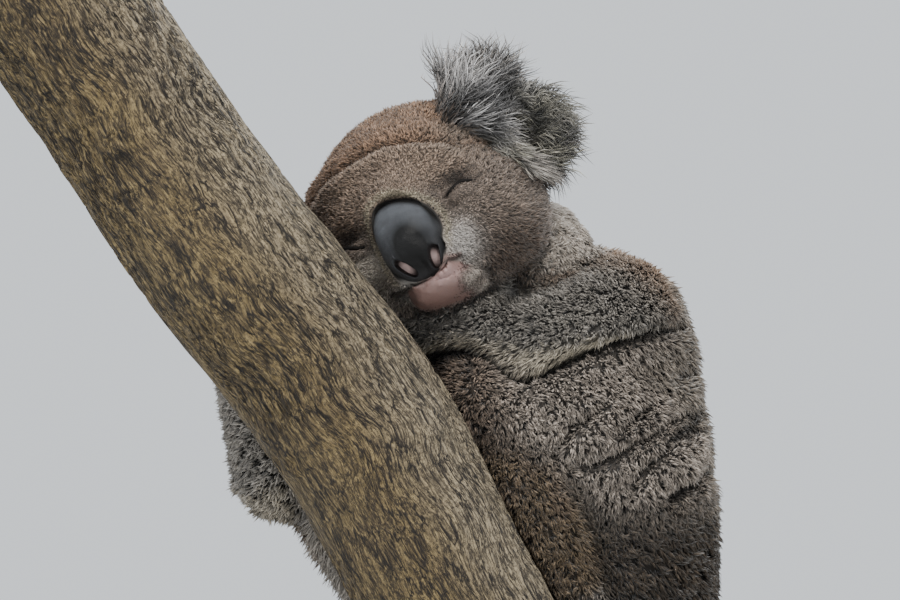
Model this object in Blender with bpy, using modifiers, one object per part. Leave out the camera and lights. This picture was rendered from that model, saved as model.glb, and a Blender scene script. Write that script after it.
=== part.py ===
"""A koala asleep against a forked branch, life size, on a plain display stand.

Metres, +Z up. The origin is on the floor under the middle of the stand's base. The koala faces -Y,
its branch rises towards -X, and its own left side is the side nearer to -Y.
Each piece is modelled on its own, then carved by the pieces it touches, so that all of them meet
face to face with a hair's breadth between them.
"""

import math

import bmesh
import bpy
import numpy as np
from mathutils import Matrix, Vector

MM = 0.001
GAP = 0.45 * MM  # clearance between two pieces that touch
FLAT = 1.5  # neighbouring triangles within this many degrees count as one plane

# Stand: a board and two steel rods under the trunk of the fork.
BASE_SIZE = (0.46, 0.34, 0.024)
BASE_EDGE = 0.006
ROD_RADIUS = 0.011
ROD_GAP = 0.072  # between the two rods' axes
TRUNK_FOOT = Vector((0.042, -0.010, 0.086))  # middle of the sawn underside of the fork

# Branch: x, y, z of its axis and its radius, from the upper sawn end to the foot.
LIMB = (
    (-0.274, -0.085, 0.644, 0.053),
    (-0.214, -0.086, 0.556, 0.052),
    (-0.154, -0.085, 0.468, 0.053),
    (-0.078, -0.085, 0.369, 0.053),
    (-0.022, -0.080, 0.267, 0.051),
    (0.012, -0.050, 0.195, 0.056),
    (0.036, -0.018, 0.135, 0.066),
    (*TRUNK_FOOT, 0.070),
)
FORK = (
    (0.036, -0.012, 0.120, 0.050),
    (0.078, 0.020, 0.152, 0.047),
    (0.122, 0.058, 0.182, 0.042),
    (0.158, 0.088, 0.214, 0.039),
)

# Head: its middle, how far it leans to its right, looks up and turns to its right, in degrees.
HEAD_AT = Vector((-0.0345, -0.020, 0.4760))
HEAD_ROLL, HEAD_PITCH, HEAD_YAW = 28, 12, 13

# Trunk: centre, radii along X, Y and Z. The back is a round ball from neck to rump.
TRUNK = (
    ((0.058, 0.036, 0.268), (0.083, 0.086, 0.080)),
    ((0.056, 0.042, 0.301), (0.086, 0.090, 0.086)),
    ((0.052, 0.045, 0.335), (0.087, 0.091, 0.084)),
    ((0.048, 0.042, 0.370), (0.086, 0.087, 0.076)),
    ((0.045, 0.038, 0.402), (0.082, 0.080, 0.066)),
    ((0.010, 0.020, 0.330), (0.060, 0.060, 0.080)),
)
NECK = (((0.016, 0.020, 0.452), (0.054, 0.054, 0.044)), ((-0.004, 0.012, 0.462), (0.050, 0.048, 0.044)))

# Limbs: x, y, z and radius from the body outwards.
ARMS = {
    "left": {
        "upper_arm": ((0.078, 0.002, 0.421, 0.038), (0.060, -0.022, 0.413, 0.035), (0.030, -0.038, 0.402, 0.033)),
        "forearm": ((0.022, -0.038, 0.403, 0.028), (-0.008, -0.036, 0.411, 0.025), (-0.038, -0.028, 0.407, 0.021)),
    },
    "right": {
        "upper_arm": ((-0.004, 0.074, 0.410, 0.046), (-0.064, 0.046, 0.370, 0.037), (-0.112, 0.012, 0.338, 0.033)),
        "forearm": ((-0.117, 0.008, 0.334, 0.033), (-0.129, -0.003, 0.384, 0.027), (-0.130, -0.012, 0.424, 0.020)),
    },
}
LEGS = {
    "left": {
        "thigh": ((0.076, 0.008, 0.332, 0.060), (0.050, -0.030, 0.358, 0.044), (-0.002, -0.048, 0.370, 0.034)),
        "shank": ((0.008, -0.048, 0.350, 0.027), (0.026, -0.050, 0.312, 0.029), (0.047, -0.042, 0.260, 0.024)),
    },
    "right": {
        "thigh": ((0.020, 0.084, 0.304, 0.062), (-0.024, 0.048, 0.312, 0.057), (-0.058, 0.016, 0.316, 0.053)),
        "shank": ((-0.060, 0.008, 0.308, 0.046), (-0.053, -0.002, 0.274, 0.033), (-0.044, -0.018, 0.240, 0.025)),
    },
}

# Hands and feet lie on the bark. Each place is (height of the branch's axis there, degrees round it
# from its far side towards its lower left, height above the bark).
HANDS = {
    "left": {"wrist": (0.384, -43, 0.020), "palm": (0.376, -26, 0.012), "turn": 1},
    "right": {"wrist": (0.440, -8, 0.020), "palm": (0.452, -16, 0.012), "turn": 1},
}
FEET = {
    "left": {"heel": (0.222, -44, 0.017), "sole": (0.210, -72, 0.013), "turn": -1},
    "right": {"heel": (0.240, 42, 0.017), "sole": (0.226, 70, 0.013), "turn": 1},
}
# Each digit: rise along the branch and turn round it, from palm to knuckle and on to the tip.
FINGERS = ((20, 6, 36, 12), (16, -12, 34, -14), (8, 26, 12, 52), (-4, 26, -4, 55), (-15, 24, -20, 48))
TOES = ((-20, -4, -34, 6), (14, 22, 22, 44), (4, 26, 8, 50), (-6, 25, -8, 49), (-15, 20, -22, 40))
LIMB_ORDER = (("forearm", ARMS, 130), ("shank", LEGS, 140), ("upper_arm", ARMS, 150), ("thigh", LEGS, 180))
DIGIT_RADIUS = 0.0070
CLAW_LENGTH, CLAW_RADIUS, CLAW_TIP = 0.017, 0.0024, 0.0006


def material(name, colour, roughness, metallic=0.0):
    made = bpy.data.materials.new(name)
    made.use_nodes = True
    shader = made.node_tree.nodes["Principled BSDF"]
    shader.inputs["Base Color"].default_value = (*colour, 1)
    shader.inputs["Roughness"].default_value = roughness
    shader.inputs["Metallic"].default_value = metallic
    return made


def add_object(name, mesh, finish=None, collection=None):
    obj = bpy.data.objects.new(name, mesh)
    (collection or koala).objects.link(obj)
    if finish:
        mesh.materials.clear()
        mesh.materials.append(finish)
    return obj


def settle(obj):
    """Bakes the object's modifiers into its mesh, as triangles with no doubles."""
    bpy.context.view_layer.update()
    graph = bpy.context.evaluated_depsgraph_get()
    mesh = bpy.data.meshes.new_from_object(obj.evaluated_get(graph))
    obj.modifiers.clear()
    tidy = bmesh.new()
    tidy.from_mesh(mesh)
    bmesh.ops.remove_doubles(tidy, verts=tidy.verts, dist=0.002 * MM)
    bmesh.ops.triangulate(tidy, faces=tidy.faces)
    tidy.to_mesh(mesh)
    tidy.free()
    obj.data = mesh
    return obj


def catmull_rom(knots, spacing):
    """Rows along a smooth curve through the knots, about this far apart; all columns run along."""
    knots = np.array(knots, float)
    padded = np.vstack([2 * knots[0] - knots[1], knots, 2 * knots[-1] - knots[-2]])
    rows = []
    for before, start, end, after in zip(padded, padded[1:], padded[2:], padded[3:]):
        count = max(2, math.ceil(np.linalg.norm((end - start)[:3]) / spacing))
        for t in np.arange(count) / count:
            bend = 2 * before - 5 * start + 4 * end - after
            twist = 3 * start - before - 3 * end + after
            rows.append(start + 0.5 * t * (end - before + t * (bend + t * twist)))
    return np.array(rows + [knots[-1]])


def ball(around, up):
    """A unit ball's corners and triangles."""
    mesh = bmesh.new()
    bmesh.ops.create_uvsphere(mesh, u_segments=around, v_segments=up, radius=1)
    bmesh.ops.triangulate(mesh, faces=mesh.faces)
    corners = np.array([v.co for v in mesh.verts])
    faces = np.array([[v.index for v in f.verts] for f in mesh.faces])
    mesh.free()
    return corners, faces


FINE_BALL, SMALL_BALL = ball(28, 18), ball(14, 10)


def ellipsoid(lumps, centre, radii, frame=Matrix.Identity(4)):
    place = np.array(frame @ Matrix.Translation(centre) @ Matrix.Diagonal((*radii, 1)))
    corners, faces = FINE_BALL
    lumps.append((corners @ place[:3, :3].T + place[:3, 3], faces))


def string_of_balls(lumps, knots, spacing=4 * MM):
    """A limb: balls set close along a smooth curve, which the remesh melts into one tapering form."""
    corners, faces = SMALL_BALL
    lumps += [(corners * row[3] + row[:3], faces) for row in catmull_rom(knots, spacing)]


def flesh(name, fill, finish, faces, voxel=4 * MM, rounds=6):
    """One soft form: fill adds its lumps, a remesh melts them together, smoothing blends the joins."""
    lumps = []
    fill(lumps)
    starts = np.cumsum([0] + [len(corners) for corners, _ in lumps[:-1]])
    mesh = bpy.data.meshes.new(name)
    corners = np.vstack([corners for corners, _ in lumps])
    mesh.from_pydata(corners, [], np.vstack([faces + start for (_, faces), start in zip(lumps, starts)]))
    obj = add_object(name, mesh)
    melt = obj.modifiers.new("melt", "REMESH")
    melt.mode, melt.voxel_size = "VOXEL", voxel
    blend = obj.modifiers.new("blend", "SMOOTH")
    blend.factor, blend.iterations = 0.5, rounds
    settle(obj)
    thin = obj.modifiers.new("thin", "DECIMATE")
    thin.ratio = min(1, faces / len(obj.data.polygons))
    settle(obj)
    obj.data.materials.clear()
    obj.data.materials.append(finish)
    return obj


def wooden_rod(name, knots, sides, finish):
    """A length of branch: a smooth bevelled curve with sawn ends, made a closed mesh."""
    curve = bpy.data.curves.new(name, "CURVE")
    curve.dimensions, curve.bevel_depth, curve.use_fill_caps = "3D", 1, True
    curve.bevel_resolution = (sides - 4) // 2
    rows = catmull_rom(knots, 34 * MM)
    spline = curve.splines.new("POLY")
    spline.points.add(len(rows) - 1)
    spline.points.foreach_set("co", np.insert(rows[:, :3], 3, 1, axis=1).ravel())
    spline.points.foreach_set("radius", rows[:, 3])
    bevelled = add_object(name + "_curve", curve)
    bpy.context.view_layer.update()
    graph = bpy.context.evaluated_depsgraph_get()
    obj = add_object(name, bpy.data.meshes.new_from_object(bevelled.evaluated_get(graph)), finish)
    bpy.data.objects.remove(bevelled)
    return settle(obj)


def box_of(obj):
    points = np.array([v.co for v in obj.data.vertices])
    return points.min(0), points.max(0)


def touching(a, b, margin=2 * MM):
    (low_a, high_a), (low_b, high_b) = box_of(a), box_of(b)
    return bool((low_a < high_b + margin).all() and (low_b < high_a + margin).all())


def drop_crumbs(obj):
    """Leaves the largest closed body of a cut piece."""
    mesh = bmesh.new()
    mesh.from_mesh(obj.data)
    islands, seen = [], set()
    for start in mesh.verts:
        if start in seen:
            continue
        island, front = [], [start]
        seen.add(start)
        while front:
            vert = front.pop()
            island.append(vert)
            for edge in vert.link_edges:
                other = edge.other_vert(vert)
                if other not in seen:
                    seen.add(other)
                    front.append(other)
        islands.append(island)
    largest = max(islands, key=len)
    for island in islands:
        if island is not largest:
            bmesh.ops.delete(mesh, geom=island, context="VERTS")
    mesh.to_mesh(obj.data)
    mesh.free()


def is_sound(mesh, most):
    """Whether every edge joins two faces and the volume is a positive one, no more than most."""
    check = bmesh.new()
    check.from_mesh(mesh)
    closed = all(len(edge.link_faces) == 2 for edge in check.edges)
    volume = check.calc_volume(signed=True)
    check.free()
    return closed and 0 < volume <= most


def volume_of(mesh):
    check = bmesh.new()
    check.from_mesh(mesh)
    volume = check.calc_volume(signed=True)
    check.free()
    return volume


def carve(obj, shape, name):
    """Cuts obj back from another piece's full shape, with the clearance between them."""
    whole, most = obj.data, volume_of(obj.data) * 1.0001
    for clearance in (1, 1.12, 1.25, 1.4, 1.6):
        cutter = add_object("cutter", shape.copy(), collection=cutters)
        swell = cutter.modifiers.new("swell", "DISPLACE")
        swell.strength, swell.mid_level = GAP * clearance, 0
        settle(cutter)
        cut = obj.modifiers.new("cut", "BOOLEAN")
        cut.operation, cut.object = "DIFFERENCE", cutter
        settle(obj)
        bpy.data.objects.remove(cutter)
        if obj.data.vertices:
            drop_crumbs(obj)
            if is_sound(obj.data, most):
                return
        obj.data = whole
    raise ValueError(f"{obj.name} could not be carved by {name}")


def merge_flat(obj):
    """Joins triangles that lie in one plane, which the cuts leave behind."""
    whole, most = obj.data, volume_of(obj.data) * 1.002
    merge = obj.modifiers.new("merge", "DECIMATE")
    merge.decimate_type, merge.angle_limit = "DISSOLVE", math.radians(FLAT)
    settle(obj)
    if not is_sound(obj.data, most):
        obj.data = whole


def head_frame():
    """Head axes: X to the koala's left, Y up its face, Z out of its face."""
    turns = (Matrix.Rotation(math.radians(90), 4, "X"), Matrix.Rotation(math.radians(HEAD_ROLL), 4, "Z"))
    nod = Matrix.Rotation(math.radians(-HEAD_PITCH), 4, "X")
    turn = Matrix.Rotation(math.radians(-HEAD_YAW), 4, "Y")
    return Matrix.Translation(HEAD_AT) @ turns[0] @ turns[1] @ nod @ turn


def head_lumps(lumps):
    """Skull, brow, cheeks, muzzle and throat, in millimetres in the head's own axes."""
    frame = head_frame() @ Matrix.Scale(MM, 4)
    ellipsoid(lumps, (0, 14, -12), (66, 57, 61), frame)
    ellipsoid(lumps, (0, 16, 16), (50, 44, 38), frame)
    ellipsoid(lumps, (0, -3, 38), (26, 30, 28), frame)
    ellipsoid(lumps, (0, -30, 36), (33, 23, 30), frame)
    ellipsoid(lumps, (0, -37, 4), (42, 25, 42), frame)
    for side in (-1, 1):
        ellipsoid(lumps, (side * 35, -14, 4), (37, 41, 42), frame)
        ellipsoid(lumps, (side * 40, 34, -14), (27, 26, 28), frame)


def jaw_lumps(lumps):
    frame = head_frame() @ Matrix.Scale(MM, 4)
    ellipsoid(lumps, (0, -48, 42), (18, 10, 20), frame)
    ellipsoid(lumps, (0, -48, 30), (23, 11, 22), frame)


def nose_lumps(lumps):
    """The long leathery pad: narrow between the eyes, broad over the two nostrils."""
    frame = head_frame() @ Matrix.Scale(MM, 4)
    ellipsoid(lumps, (0, -8, 62), (16, 16, 10), frame)
    ellipsoid(lumps, (0, -21, 66), (18.5, 20, 12), frame)
    for side in (-1, 1):
        ellipsoid(lumps, (side * 8, -35, 65), (10.5, 10.5, 11), frame)


def lid_lumps(side):
    """A closed lid in its socket."""

    def fill(lumps):
        frame = head_frame() @ Matrix.Scale(MM, 4)
        lean = Matrix.Translation((side * 38, -4, 41)) @ Matrix.Rotation(math.radians(side * 32), 4, "Y")
        ellipsoid(lumps, (0, 0, 0), (13, 8.5, 6), frame @ lean)

    return fill


def ear_lumps(side):
    """A round cup of long fur: a thick rim of balls round a thinner bowl, standing off the skull."""

    def fill(lumps):
        frame = head_frame() @ Matrix.Scale(MM, 4)
        lean = Matrix.Rotation(math.radians(side * (16 if side > 0 else 40)), 4, "Y")
        ear = frame @ Matrix.Translation((67, 26, -16) if side > 0 else (-64, 15, -26)) @ lean
        reach = 31 if side > 0 else 27
        for degrees in range(-120, 181, 12):
            turn = math.radians(degrees)
            rim = Vector((side * math.cos(turn) * reach, math.sin(turn) * reach, 0))
            ellipsoid(lumps, rim, (12, 12, 8.5), ear)
        ellipsoid(lumps, (0, 0, -4), (30, 30, 7), ear)
        ellipsoid(lumps, (-side * 22, -2, -2), (22, 24, 9), ear)

    return fill


def trunk_lumps(lumps):
    for centre, radii in TRUNK:
        ellipsoid(lumps, centre, radii)


def neck_lumps(lumps):
    for centre, radii in NECK:
        ellipsoid(lumps, centre, radii)


def on_limb(level, degrees, height):
    """The place this high over the bark, at this level of the branch's axis and turn round it."""
    rows = catmull_rom(LIMB, 4 * MM)
    i = int(np.clip(np.abs(rows[:, 2] - level).argmin(), 1, len(rows) - 2))
    along = Vector(rows[i - 1, :3] - rows[i + 1, :3]).normalized()
    back = Vector((0, 1, 0))
    back = (back - back.dot(along) * along).normalized()
    side = along.cross(back)
    turn = math.radians(degrees)
    out = back * math.cos(turn) + side * math.sin(turn)
    return Vector(rows[i, :3]) + out * (rows[i, 3] + height) + along * (level - rows[i, 2])


def digit_knots(extremity, digit):
    """Knuckle, middle and tip of a finger or toe, which lies along the bark."""
    level, turn, height = extremity.get("palm", extremity.get("sole"))
    rise1, turn1, rise2, turn2 = digit
    way = extremity["turn"]
    steps = ((0, 0, height), (rise1 * MM, way * turn1, 0.011), (rise2 * MM, way * turn2, 0.0078))
    return [on_limb(level + rise, turn + round_it, over) for rise, round_it, over in steps]


def extremity_lumps(extremity, root, digits):
    """Palm or sole with its digits, from the end of the limb that carries it."""

    def fill(lumps):
        near = on_limb(*extremity.get("wrist", extremity.get("heel")))
        middle = on_limb(*extremity.get("palm", extremity.get("sole")))
        string_of_balls(lumps, ((*root[:3], root[3]), (*near, 0.0165), (*middle, 0.0125)), 2 * MM)
        for digit in digits:
            knots = digit_knots(extremity, digit)
            radii = (0.0095, DIGIT_RADIUS + 0.0008, DIGIT_RADIUS)
            string_of_balls(lumps, [(*k, r) for k, r in zip(knots, radii)], 1.5 * MM)

    return fill


def claw(name, extremity, digit):
    """A curved tapering claw from inside the digit's tip down towards the bark."""
    _, middle, tip = digit_knots(extremity, digit)
    level, turn, _ = extremity.get("palm", extremity.get("sole"))
    ahead = (tip - middle).normalized()
    bark = on_limb(level + digit[2] * MM, turn + extremity["turn"] * digit[3], 0)
    down = (bark - tip).normalized()
    curve = bpy.data.curves.new(name, "CURVE")
    curve.dimensions, curve.bevel_depth, curve.use_fill_caps, curve.bevel_resolution = "3D", 1, True, 1
    spline = curve.splines.new("POLY")
    shares = (0, 0.45, 0.8, 1)
    spline.points.add(len(shares) - 1)
    for point, share in zip(spline.points, shares):
        drop = (0.0052 - 0.0012) * share**2 - 0.0012
        point.co = (*(tip + ahead * CLAW_LENGTH * share + down * drop), 1)
        point.radius = CLAW_RADIUS + (CLAW_TIP - CLAW_RADIUS) * share**1.3
    bevelled = add_object(name + "_curve", curve)
    bpy.context.view_layer.update()
    graph = bpy.context.evaluated_depsgraph_get()
    obj = add_object(name, bpy.data.meshes.new_from_object(bevelled.evaluated_get(graph)), horn)
    bpy.data.objects.remove(bevelled)
    return settle(obj)


def stand():
    """A board with eased edges and two rods up to the sawn foot of the fork."""
    width, depth, thick = BASE_SIZE
    mesh = bmesh.new()
    place = Matrix.Translation((0, 0, thick / 2)) @ Matrix.Diagonal((width, depth, thick, 1))
    bmesh.ops.create_cube(mesh, size=1, matrix=place)
    board = bpy.data.meshes.new("stand_base")
    mesh.to_mesh(board)
    mesh.free()
    base = add_object("stand_base", board, stained_wood)
    ease = base.modifiers.new("ease", "BEVEL")
    ease.width, ease.segments = BASE_EDGE, 2
    made = [settle(base)]
    length = TRUNK_FOOT.z - thick - 2 * GAP
    for name, side in (("stand_rod_a", -1), ("stand_rod_b", 1)):
        mesh = bmesh.new()
        middle = (TRUNK_FOOT.x, TRUNK_FOOT.y + side * ROD_GAP / 2, thick + GAP + length / 2)
        bmesh.ops.create_cone(
            mesh, cap_ends=True, segments=20, radius1=ROD_RADIUS, radius2=ROD_RADIUS,
            depth=length, matrix=Matrix.Translation(middle),
        )
        rod = bpy.data.meshes.new(name)
        mesh.to_mesh(rod)
        mesh.free()
        made.append(settle(add_object(name, rod, steel)))
    return made


for leftover in list(bpy.data.objects):
    bpy.data.objects.remove(leftover)
koala = bpy.data.collections.new("koala")
cutters = bpy.data.collections.new("cutters")
cutters.hide_render = True
for collection in (koala, cutters):
    bpy.context.scene.collection.children.link(collection)

coat = material("coat", (0.16, 0.14, 0.12), 0.9)
face_coat = material("face_coat", (0.19, 0.15, 0.12), 0.9)
ear_coat = material("ear_coat", (0.24, 0.23, 0.22), 0.9)
nose_leather = material("nose_leather", (0.05, 0.055, 0.06), 0.5)
lip = material("lip", (0.25, 0.15, 0.13), 0.6)
horn = material("horn", (0.03, 0.027, 0.024), 0.35)
bark = material("bark", (0.23, 0.19, 0.13), 0.95)
stained_wood = material("stained_wood", (0.09, 0.05, 0.03), 0.4)
steel = material("steel", (0.5, 0.5, 0.5), 0.3, 1.0)

# Earlier pieces keep their shape and later ones are carved to meet them.
pieces = stand()
pieces.append(wooden_rod("perch_limb", LIMB, 16, bark))
pieces.append(wooden_rod("perch_fork", FORK, 12, bark))
for side in ("left", "right"):
    for i, digit in enumerate(FINGERS, 1):
        pieces.append(claw(f"claw_hand_{side}_{i}", HANDS[side], digit))
    for i, digit in enumerate(TOES[1:], 2):
        pieces.append(claw(f"claw_foot_{side}_{i}", FEET[side], digit))
pieces.append(flesh("nose", nose_lumps, nose_leather, 240, voxel=1.6 * MM, rounds=8))
pieces.append(flesh("eyelid_left", lid_lumps(1), face_coat, 60, voxel=1.5 * MM, rounds=2))
pieces.append(flesh("eyelid_right", lid_lumps(-1), face_coat, 60, voxel=1.5 * MM, rounds=2))
pieces.append(flesh("jaw", jaw_lumps, lip, 120, voxel=2 * MM, rounds=4))
pieces.append(flesh("head", head_lumps, face_coat, 640, voxel=3.5 * MM, rounds=8))
pieces.append(flesh("ear_left", ear_lumps(1), ear_coat, 280, voxel=2.5 * MM, rounds=4))
pieces.append(flesh("ear_right", ear_lumps(-1), ear_coat, 240, voxel=2.5 * MM, rounds=4))
for side in ("left", "right"):
    arm, leg = ARMS[side], LEGS[side]
    hand = extremity_lumps(HANDS[side], arm["forearm"][-1], FINGERS)
    foot = extremity_lumps(FEET[side], leg["shank"][-1], TOES)
    pieces.append(flesh(f"hand_{side}", hand, coat, 300, voxel=1.8 * MM, rounds=3))
    pieces.append(flesh(f"foot_{side}", foot, coat, 300, voxel=1.8 * MM, rounds=3))
for part, limbs, faces in LIMB_ORDER:
    for side in ("left", "right"):
        knots = limbs[side][part]
        pieces.append(flesh(f"{part}_{side}", lambda lumps: string_of_balls(lumps, knots), coat, faces))
pieces.append(flesh("neck", neck_lumps, coat, 160))
pieces.append(flesh("trunk", trunk_lumps, coat, 420, voxel=5 * MM, rounds=14))

shapes = {piece.name: piece.data.copy() for piece in pieces}
for i, piece in enumerate(pieces):
    for earlier in pieces[:i]:
        if touching(piece, earlier):
            carve(piece, shapes[earlier.name], earlier.name)

for piece in pieces:
    merge_flat(piece)
    piece.data.shade_smooth()
    piece.data.set_sharp_from_angle(angle=math.radians(50))
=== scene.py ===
# A koala asleep on a branch: skin, coat, nose, claws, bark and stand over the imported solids.
# Metres, Z up. Head places are in millimetres in the head's own axes: left, up the face, out of the face.
import itertools
import math

import bmesh
import bpy
import numpy as np
from mathutils import Matrix, Vector
from mathutils.bvhtree import BVHTree


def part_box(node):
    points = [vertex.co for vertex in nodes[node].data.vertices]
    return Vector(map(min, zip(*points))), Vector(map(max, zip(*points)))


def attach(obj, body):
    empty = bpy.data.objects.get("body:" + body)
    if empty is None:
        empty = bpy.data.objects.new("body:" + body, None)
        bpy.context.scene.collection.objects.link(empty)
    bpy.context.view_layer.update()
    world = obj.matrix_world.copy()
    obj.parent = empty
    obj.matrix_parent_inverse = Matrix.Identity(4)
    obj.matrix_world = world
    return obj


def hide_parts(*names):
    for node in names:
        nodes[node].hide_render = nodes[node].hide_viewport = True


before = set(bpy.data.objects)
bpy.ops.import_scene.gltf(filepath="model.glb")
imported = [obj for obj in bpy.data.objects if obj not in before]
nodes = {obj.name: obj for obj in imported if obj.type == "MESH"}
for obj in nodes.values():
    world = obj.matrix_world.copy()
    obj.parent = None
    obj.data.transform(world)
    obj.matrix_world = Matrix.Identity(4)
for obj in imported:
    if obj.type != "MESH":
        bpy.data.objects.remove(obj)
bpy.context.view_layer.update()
mm = 0.001


# An object at the origin from arrays of corners and equal-sided faces, shaded smooth.
def meshObject(name, corners, faces):
    mesh = bpy.data.meshes.new(name)
    mesh.vertices.add(len(corners))
    mesh.vertices.foreach_set("co", np.asarray(corners, np.float32).ravel())
    mesh.loops.add(faces.size)
    mesh.loops.foreach_set("vertex_index", faces.astype(np.int32).ravel())
    mesh.polygons.add(len(faces))
    mesh.polygons.foreach_set("loop_start", np.arange(0, faces.size, faces.shape[1], dtype=np.int32))
    mesh.update(calc_edges=True)
    mesh.shade_smooth()
    obj = bpy.data.objects.new(name, mesh)
    bpy.context.scene.collection.objects.link(obj)
    return obj


# A colour for each corner of a mesh, kept under a name.
def addColour(obj, name, rgb):
    rgba = np.ones((len(rgb), 4), np.float32)
    rgba[:, :3] = rgb
    obj.data.attributes.new(name, "FLOAT_COLOR", "POINT").data.foreach_set("color", rgba.ravel())


# A number for each corner of a mesh, kept under a name.
def addValue(obj, name, values):
    obj.data.attributes.new(name, "FLOAT", "POINT").data.foreach_set("value", values.astype(np.float32))


# Rows divided by their length.
def unit(rows):
    return rows / np.maximum(np.linalg.norm(rows, axis=-1, keepdims=True), 1e-9)


# Corners and triangles of rings joined into a tube and closed by a point at each end.
def closedTube(rings, firstPoint, lastPoint):
    count, around = rings.shape[:2]
    index = np.arange(count * around).reshape(count, around)
    right = np.roll(index, -1, axis=1)
    quads = np.stack([index[:-1], index[1:], right[1:], right[:-1]], -1).reshape(-1, 4)
    start, end = (np.full(around, count * around + k) for k in range(2))
    first = np.stack([start, index[0], right[0]], -1)
    last = np.stack([end, right[-1], index[-1]], -1)
    corners = np.vstack([rings.reshape(-1, 3), firstPoint, lastPoint])
    return corners, np.vstack([quads[:, [0, 1, 2]], quads[:, [0, 2, 3]], first, last])


# Every face of a closed mesh turned outwards, then shaded smooth.
def facedOut(obj):
    work = bmesh.new()
    work.from_mesh(obj.data)
    bmesh.ops.recalc_face_normals(work, faces=work.faces)
    work.to_mesh(obj.data)
    work.free()
    obj.data.shade_smooth()


# Angles of evenly spaced points round a ring.
def ringTurns(around):
    return np.linspace(0, 2 * math.pi, around, endpoint=False)


# 0 below low, 1 above high, eased in between.
def ease(value, low, high):
    share = np.clip((value - low) / (high - low), 0, 1)
    return share * share * (3 - 2 * share)


# A bell: 1 at the middle, falling off over the width.
def bell(distance, width):
    return np.exp(-((distance / width) ** 2))


# 1 between the two bounds, eased out over the soft width beyond them.
def between(value, low, high, soft):
    return ease(value, low - soft, low) * (1 - ease(value, high, high + soft))


# A number from 0 to 1 for each row of whole numbers.
def shuffle(cells, seed):
    mixed = cells[..., 0] * 73856093 ^ cells[..., 1] * 19349663 ^ cells[..., 2] * 83492791
    mixed = mixed ^ seed * 2654435761
    mixed = (mixed ^ (mixed >> 13)) * 1274126177 & 0x7FFFFFFF
    return ((mixed ^ (mixed >> 16)) & 0xFFFFF) / 0xFFFFF


# Soft noise from -1 to 1: random numbers on a cubic lattice, eased between its corners.
def softNoise(points, size, seed):
    cells = np.floor(points / size).astype(np.int64)
    inside = points / size - cells
    blend = inside * inside * (3 - 2 * inside)
    total = 0
    for corner in itertools.product((0, 1), repeat=3):
        share = np.prod(np.where(corner, blend, 1 - blend), axis=-1)
        total = total + share * shuffle(cells + np.array(corner), seed)
    return total * 2 - 1


# The nearest of one random seed per lattice cell: its place, and the gap between nearest and second.
def nearestSeed(points, size, seed):
    cells = np.floor(points / size).astype(np.int64)
    best = np.full(len(points), 1e9)
    second = best.copy()
    place = np.zeros_like(points)
    for step in itertools.product((-1, 0, 1), repeat=3):
        cell = cells + np.array(step)
        jitter = np.stack([shuffle(cell, seed + axis) for axis in range(3)], -1)
        candidate = (cell + jitter) * size
        distance = np.linalg.norm((candidate - points) / size, axis=-1)
        closer = distance < best
        second = np.where(closer, best, np.minimum(second, distance))
        best = np.where(closer, distance, best)
        place = np.where(closer[:, None], candidate, place)
    return place, second - best


# Rows along a smooth curve through the knots; all columns, the radius too, run along.
def smoothCurve(knots, spacing):
    knots = np.array(knots, float)
    padded = np.vstack([2 * knots[0] - knots[1], knots, 2 * knots[-1] - knots[-2]])
    rows = []
    for before, start, end, after in zip(padded, padded[1:], padded[2:], padded[3:]):
        count = max(2, math.ceil(np.linalg.norm((end - start)[:3]) / spacing))
        t = (np.arange(count) / count)[:, None]
        bend = 2 * before - 5 * start + 4 * end - after
        twist = 3 * start - before - 3 * end + after
        rows.append(start + 0.5 * t * (end - before + t * (bend + t * twist)))
    return np.vstack(rows + [knots[-1:]])


# A new material with its roughness; other sockets by name, with _ for a space.
def newMaterial(name, roughness, **sockets):
    made = bpy.data.materials.new(name)
    made.use_nodes = True
    shader = made.node_tree.nodes["Principled BSDF"]
    shader.inputs["Roughness"].default_value = roughness
    for socket, value in sockets.items():
        shader.inputs[socket.replace("_", " ")].default_value = value
    return made, made.node_tree, shader


# A node with its sockets' values and its settings.
def addNode(tree, kind, values=None, **settings):
    node = tree.nodes.new(kind)
    for name, value in settings.items():
        setattr(node, name, value)
    for name, value in (values or {}).items():
        node.inputs[name].default_value = value
    return node


# A link from one node's socket to another's.
def join(tree, start, socket, end, target):
    tree.links.new(start.outputs[socket], end.inputs[target])


# The value that the mesh carries under a name.
def carried(tree, key):
    return addNode(tree, "ShaderNodeAttribute", attribute_name=key)


# Noise read at the given place; returns its grey value.
def noiseAt(tree, place, socket, scale, detail, **sockets):
    noise = addNode(tree, "ShaderNodeTexNoise", {"Scale": scale, "Detail": detail, **sockets})
    join(tree, place, socket, noise, "Vector")
    return noise.outputs["Fac"]


# One step of arithmetic on sockets and numbers.
def calculate(tree, operation, *values):
    node = addNode(tree, "ShaderNodeMath", operation=operation)
    for index, value in enumerate(values):
        if hasattr(value, "links"):
            tree.links.new(value, node.inputs[index])
        else:
            node.inputs[index].default_value = value
    return node.outputs[0]


# Two colours mixed by a factor; any of the three may be a socket.
def mixColour(tree, factor, first, second, mode="MIX"):
    node = tree.nodes.new("ShaderNodeMix")
    node.data_type, node.blend_type = "RGBA", mode
    for index, value in ((0, factor), (6, first), (7, second)):
        if hasattr(value, "links"):
            tree.links.new(value, node.inputs[index])
        elif index:
            node.inputs[index].default_value = (*value, 1)
        else:
            node.inputs[index].default_value = value
    return node.outputs[2]


# A value carried from one range to another.
def mapRange(tree, value, fromLow, fromHigh, toLow, toHigh):
    node = tree.nodes.new("ShaderNodeMapRange")
    tree.links.new(value, node.inputs["Value"])
    names = ("From Min", "From Max", "To Min", "To Max")
    for name, number in zip(names, (fromLow, fromHigh, toLow, toHigh)):
        node.inputs[name].default_value = number
    return node.outputs["Result"]


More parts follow.
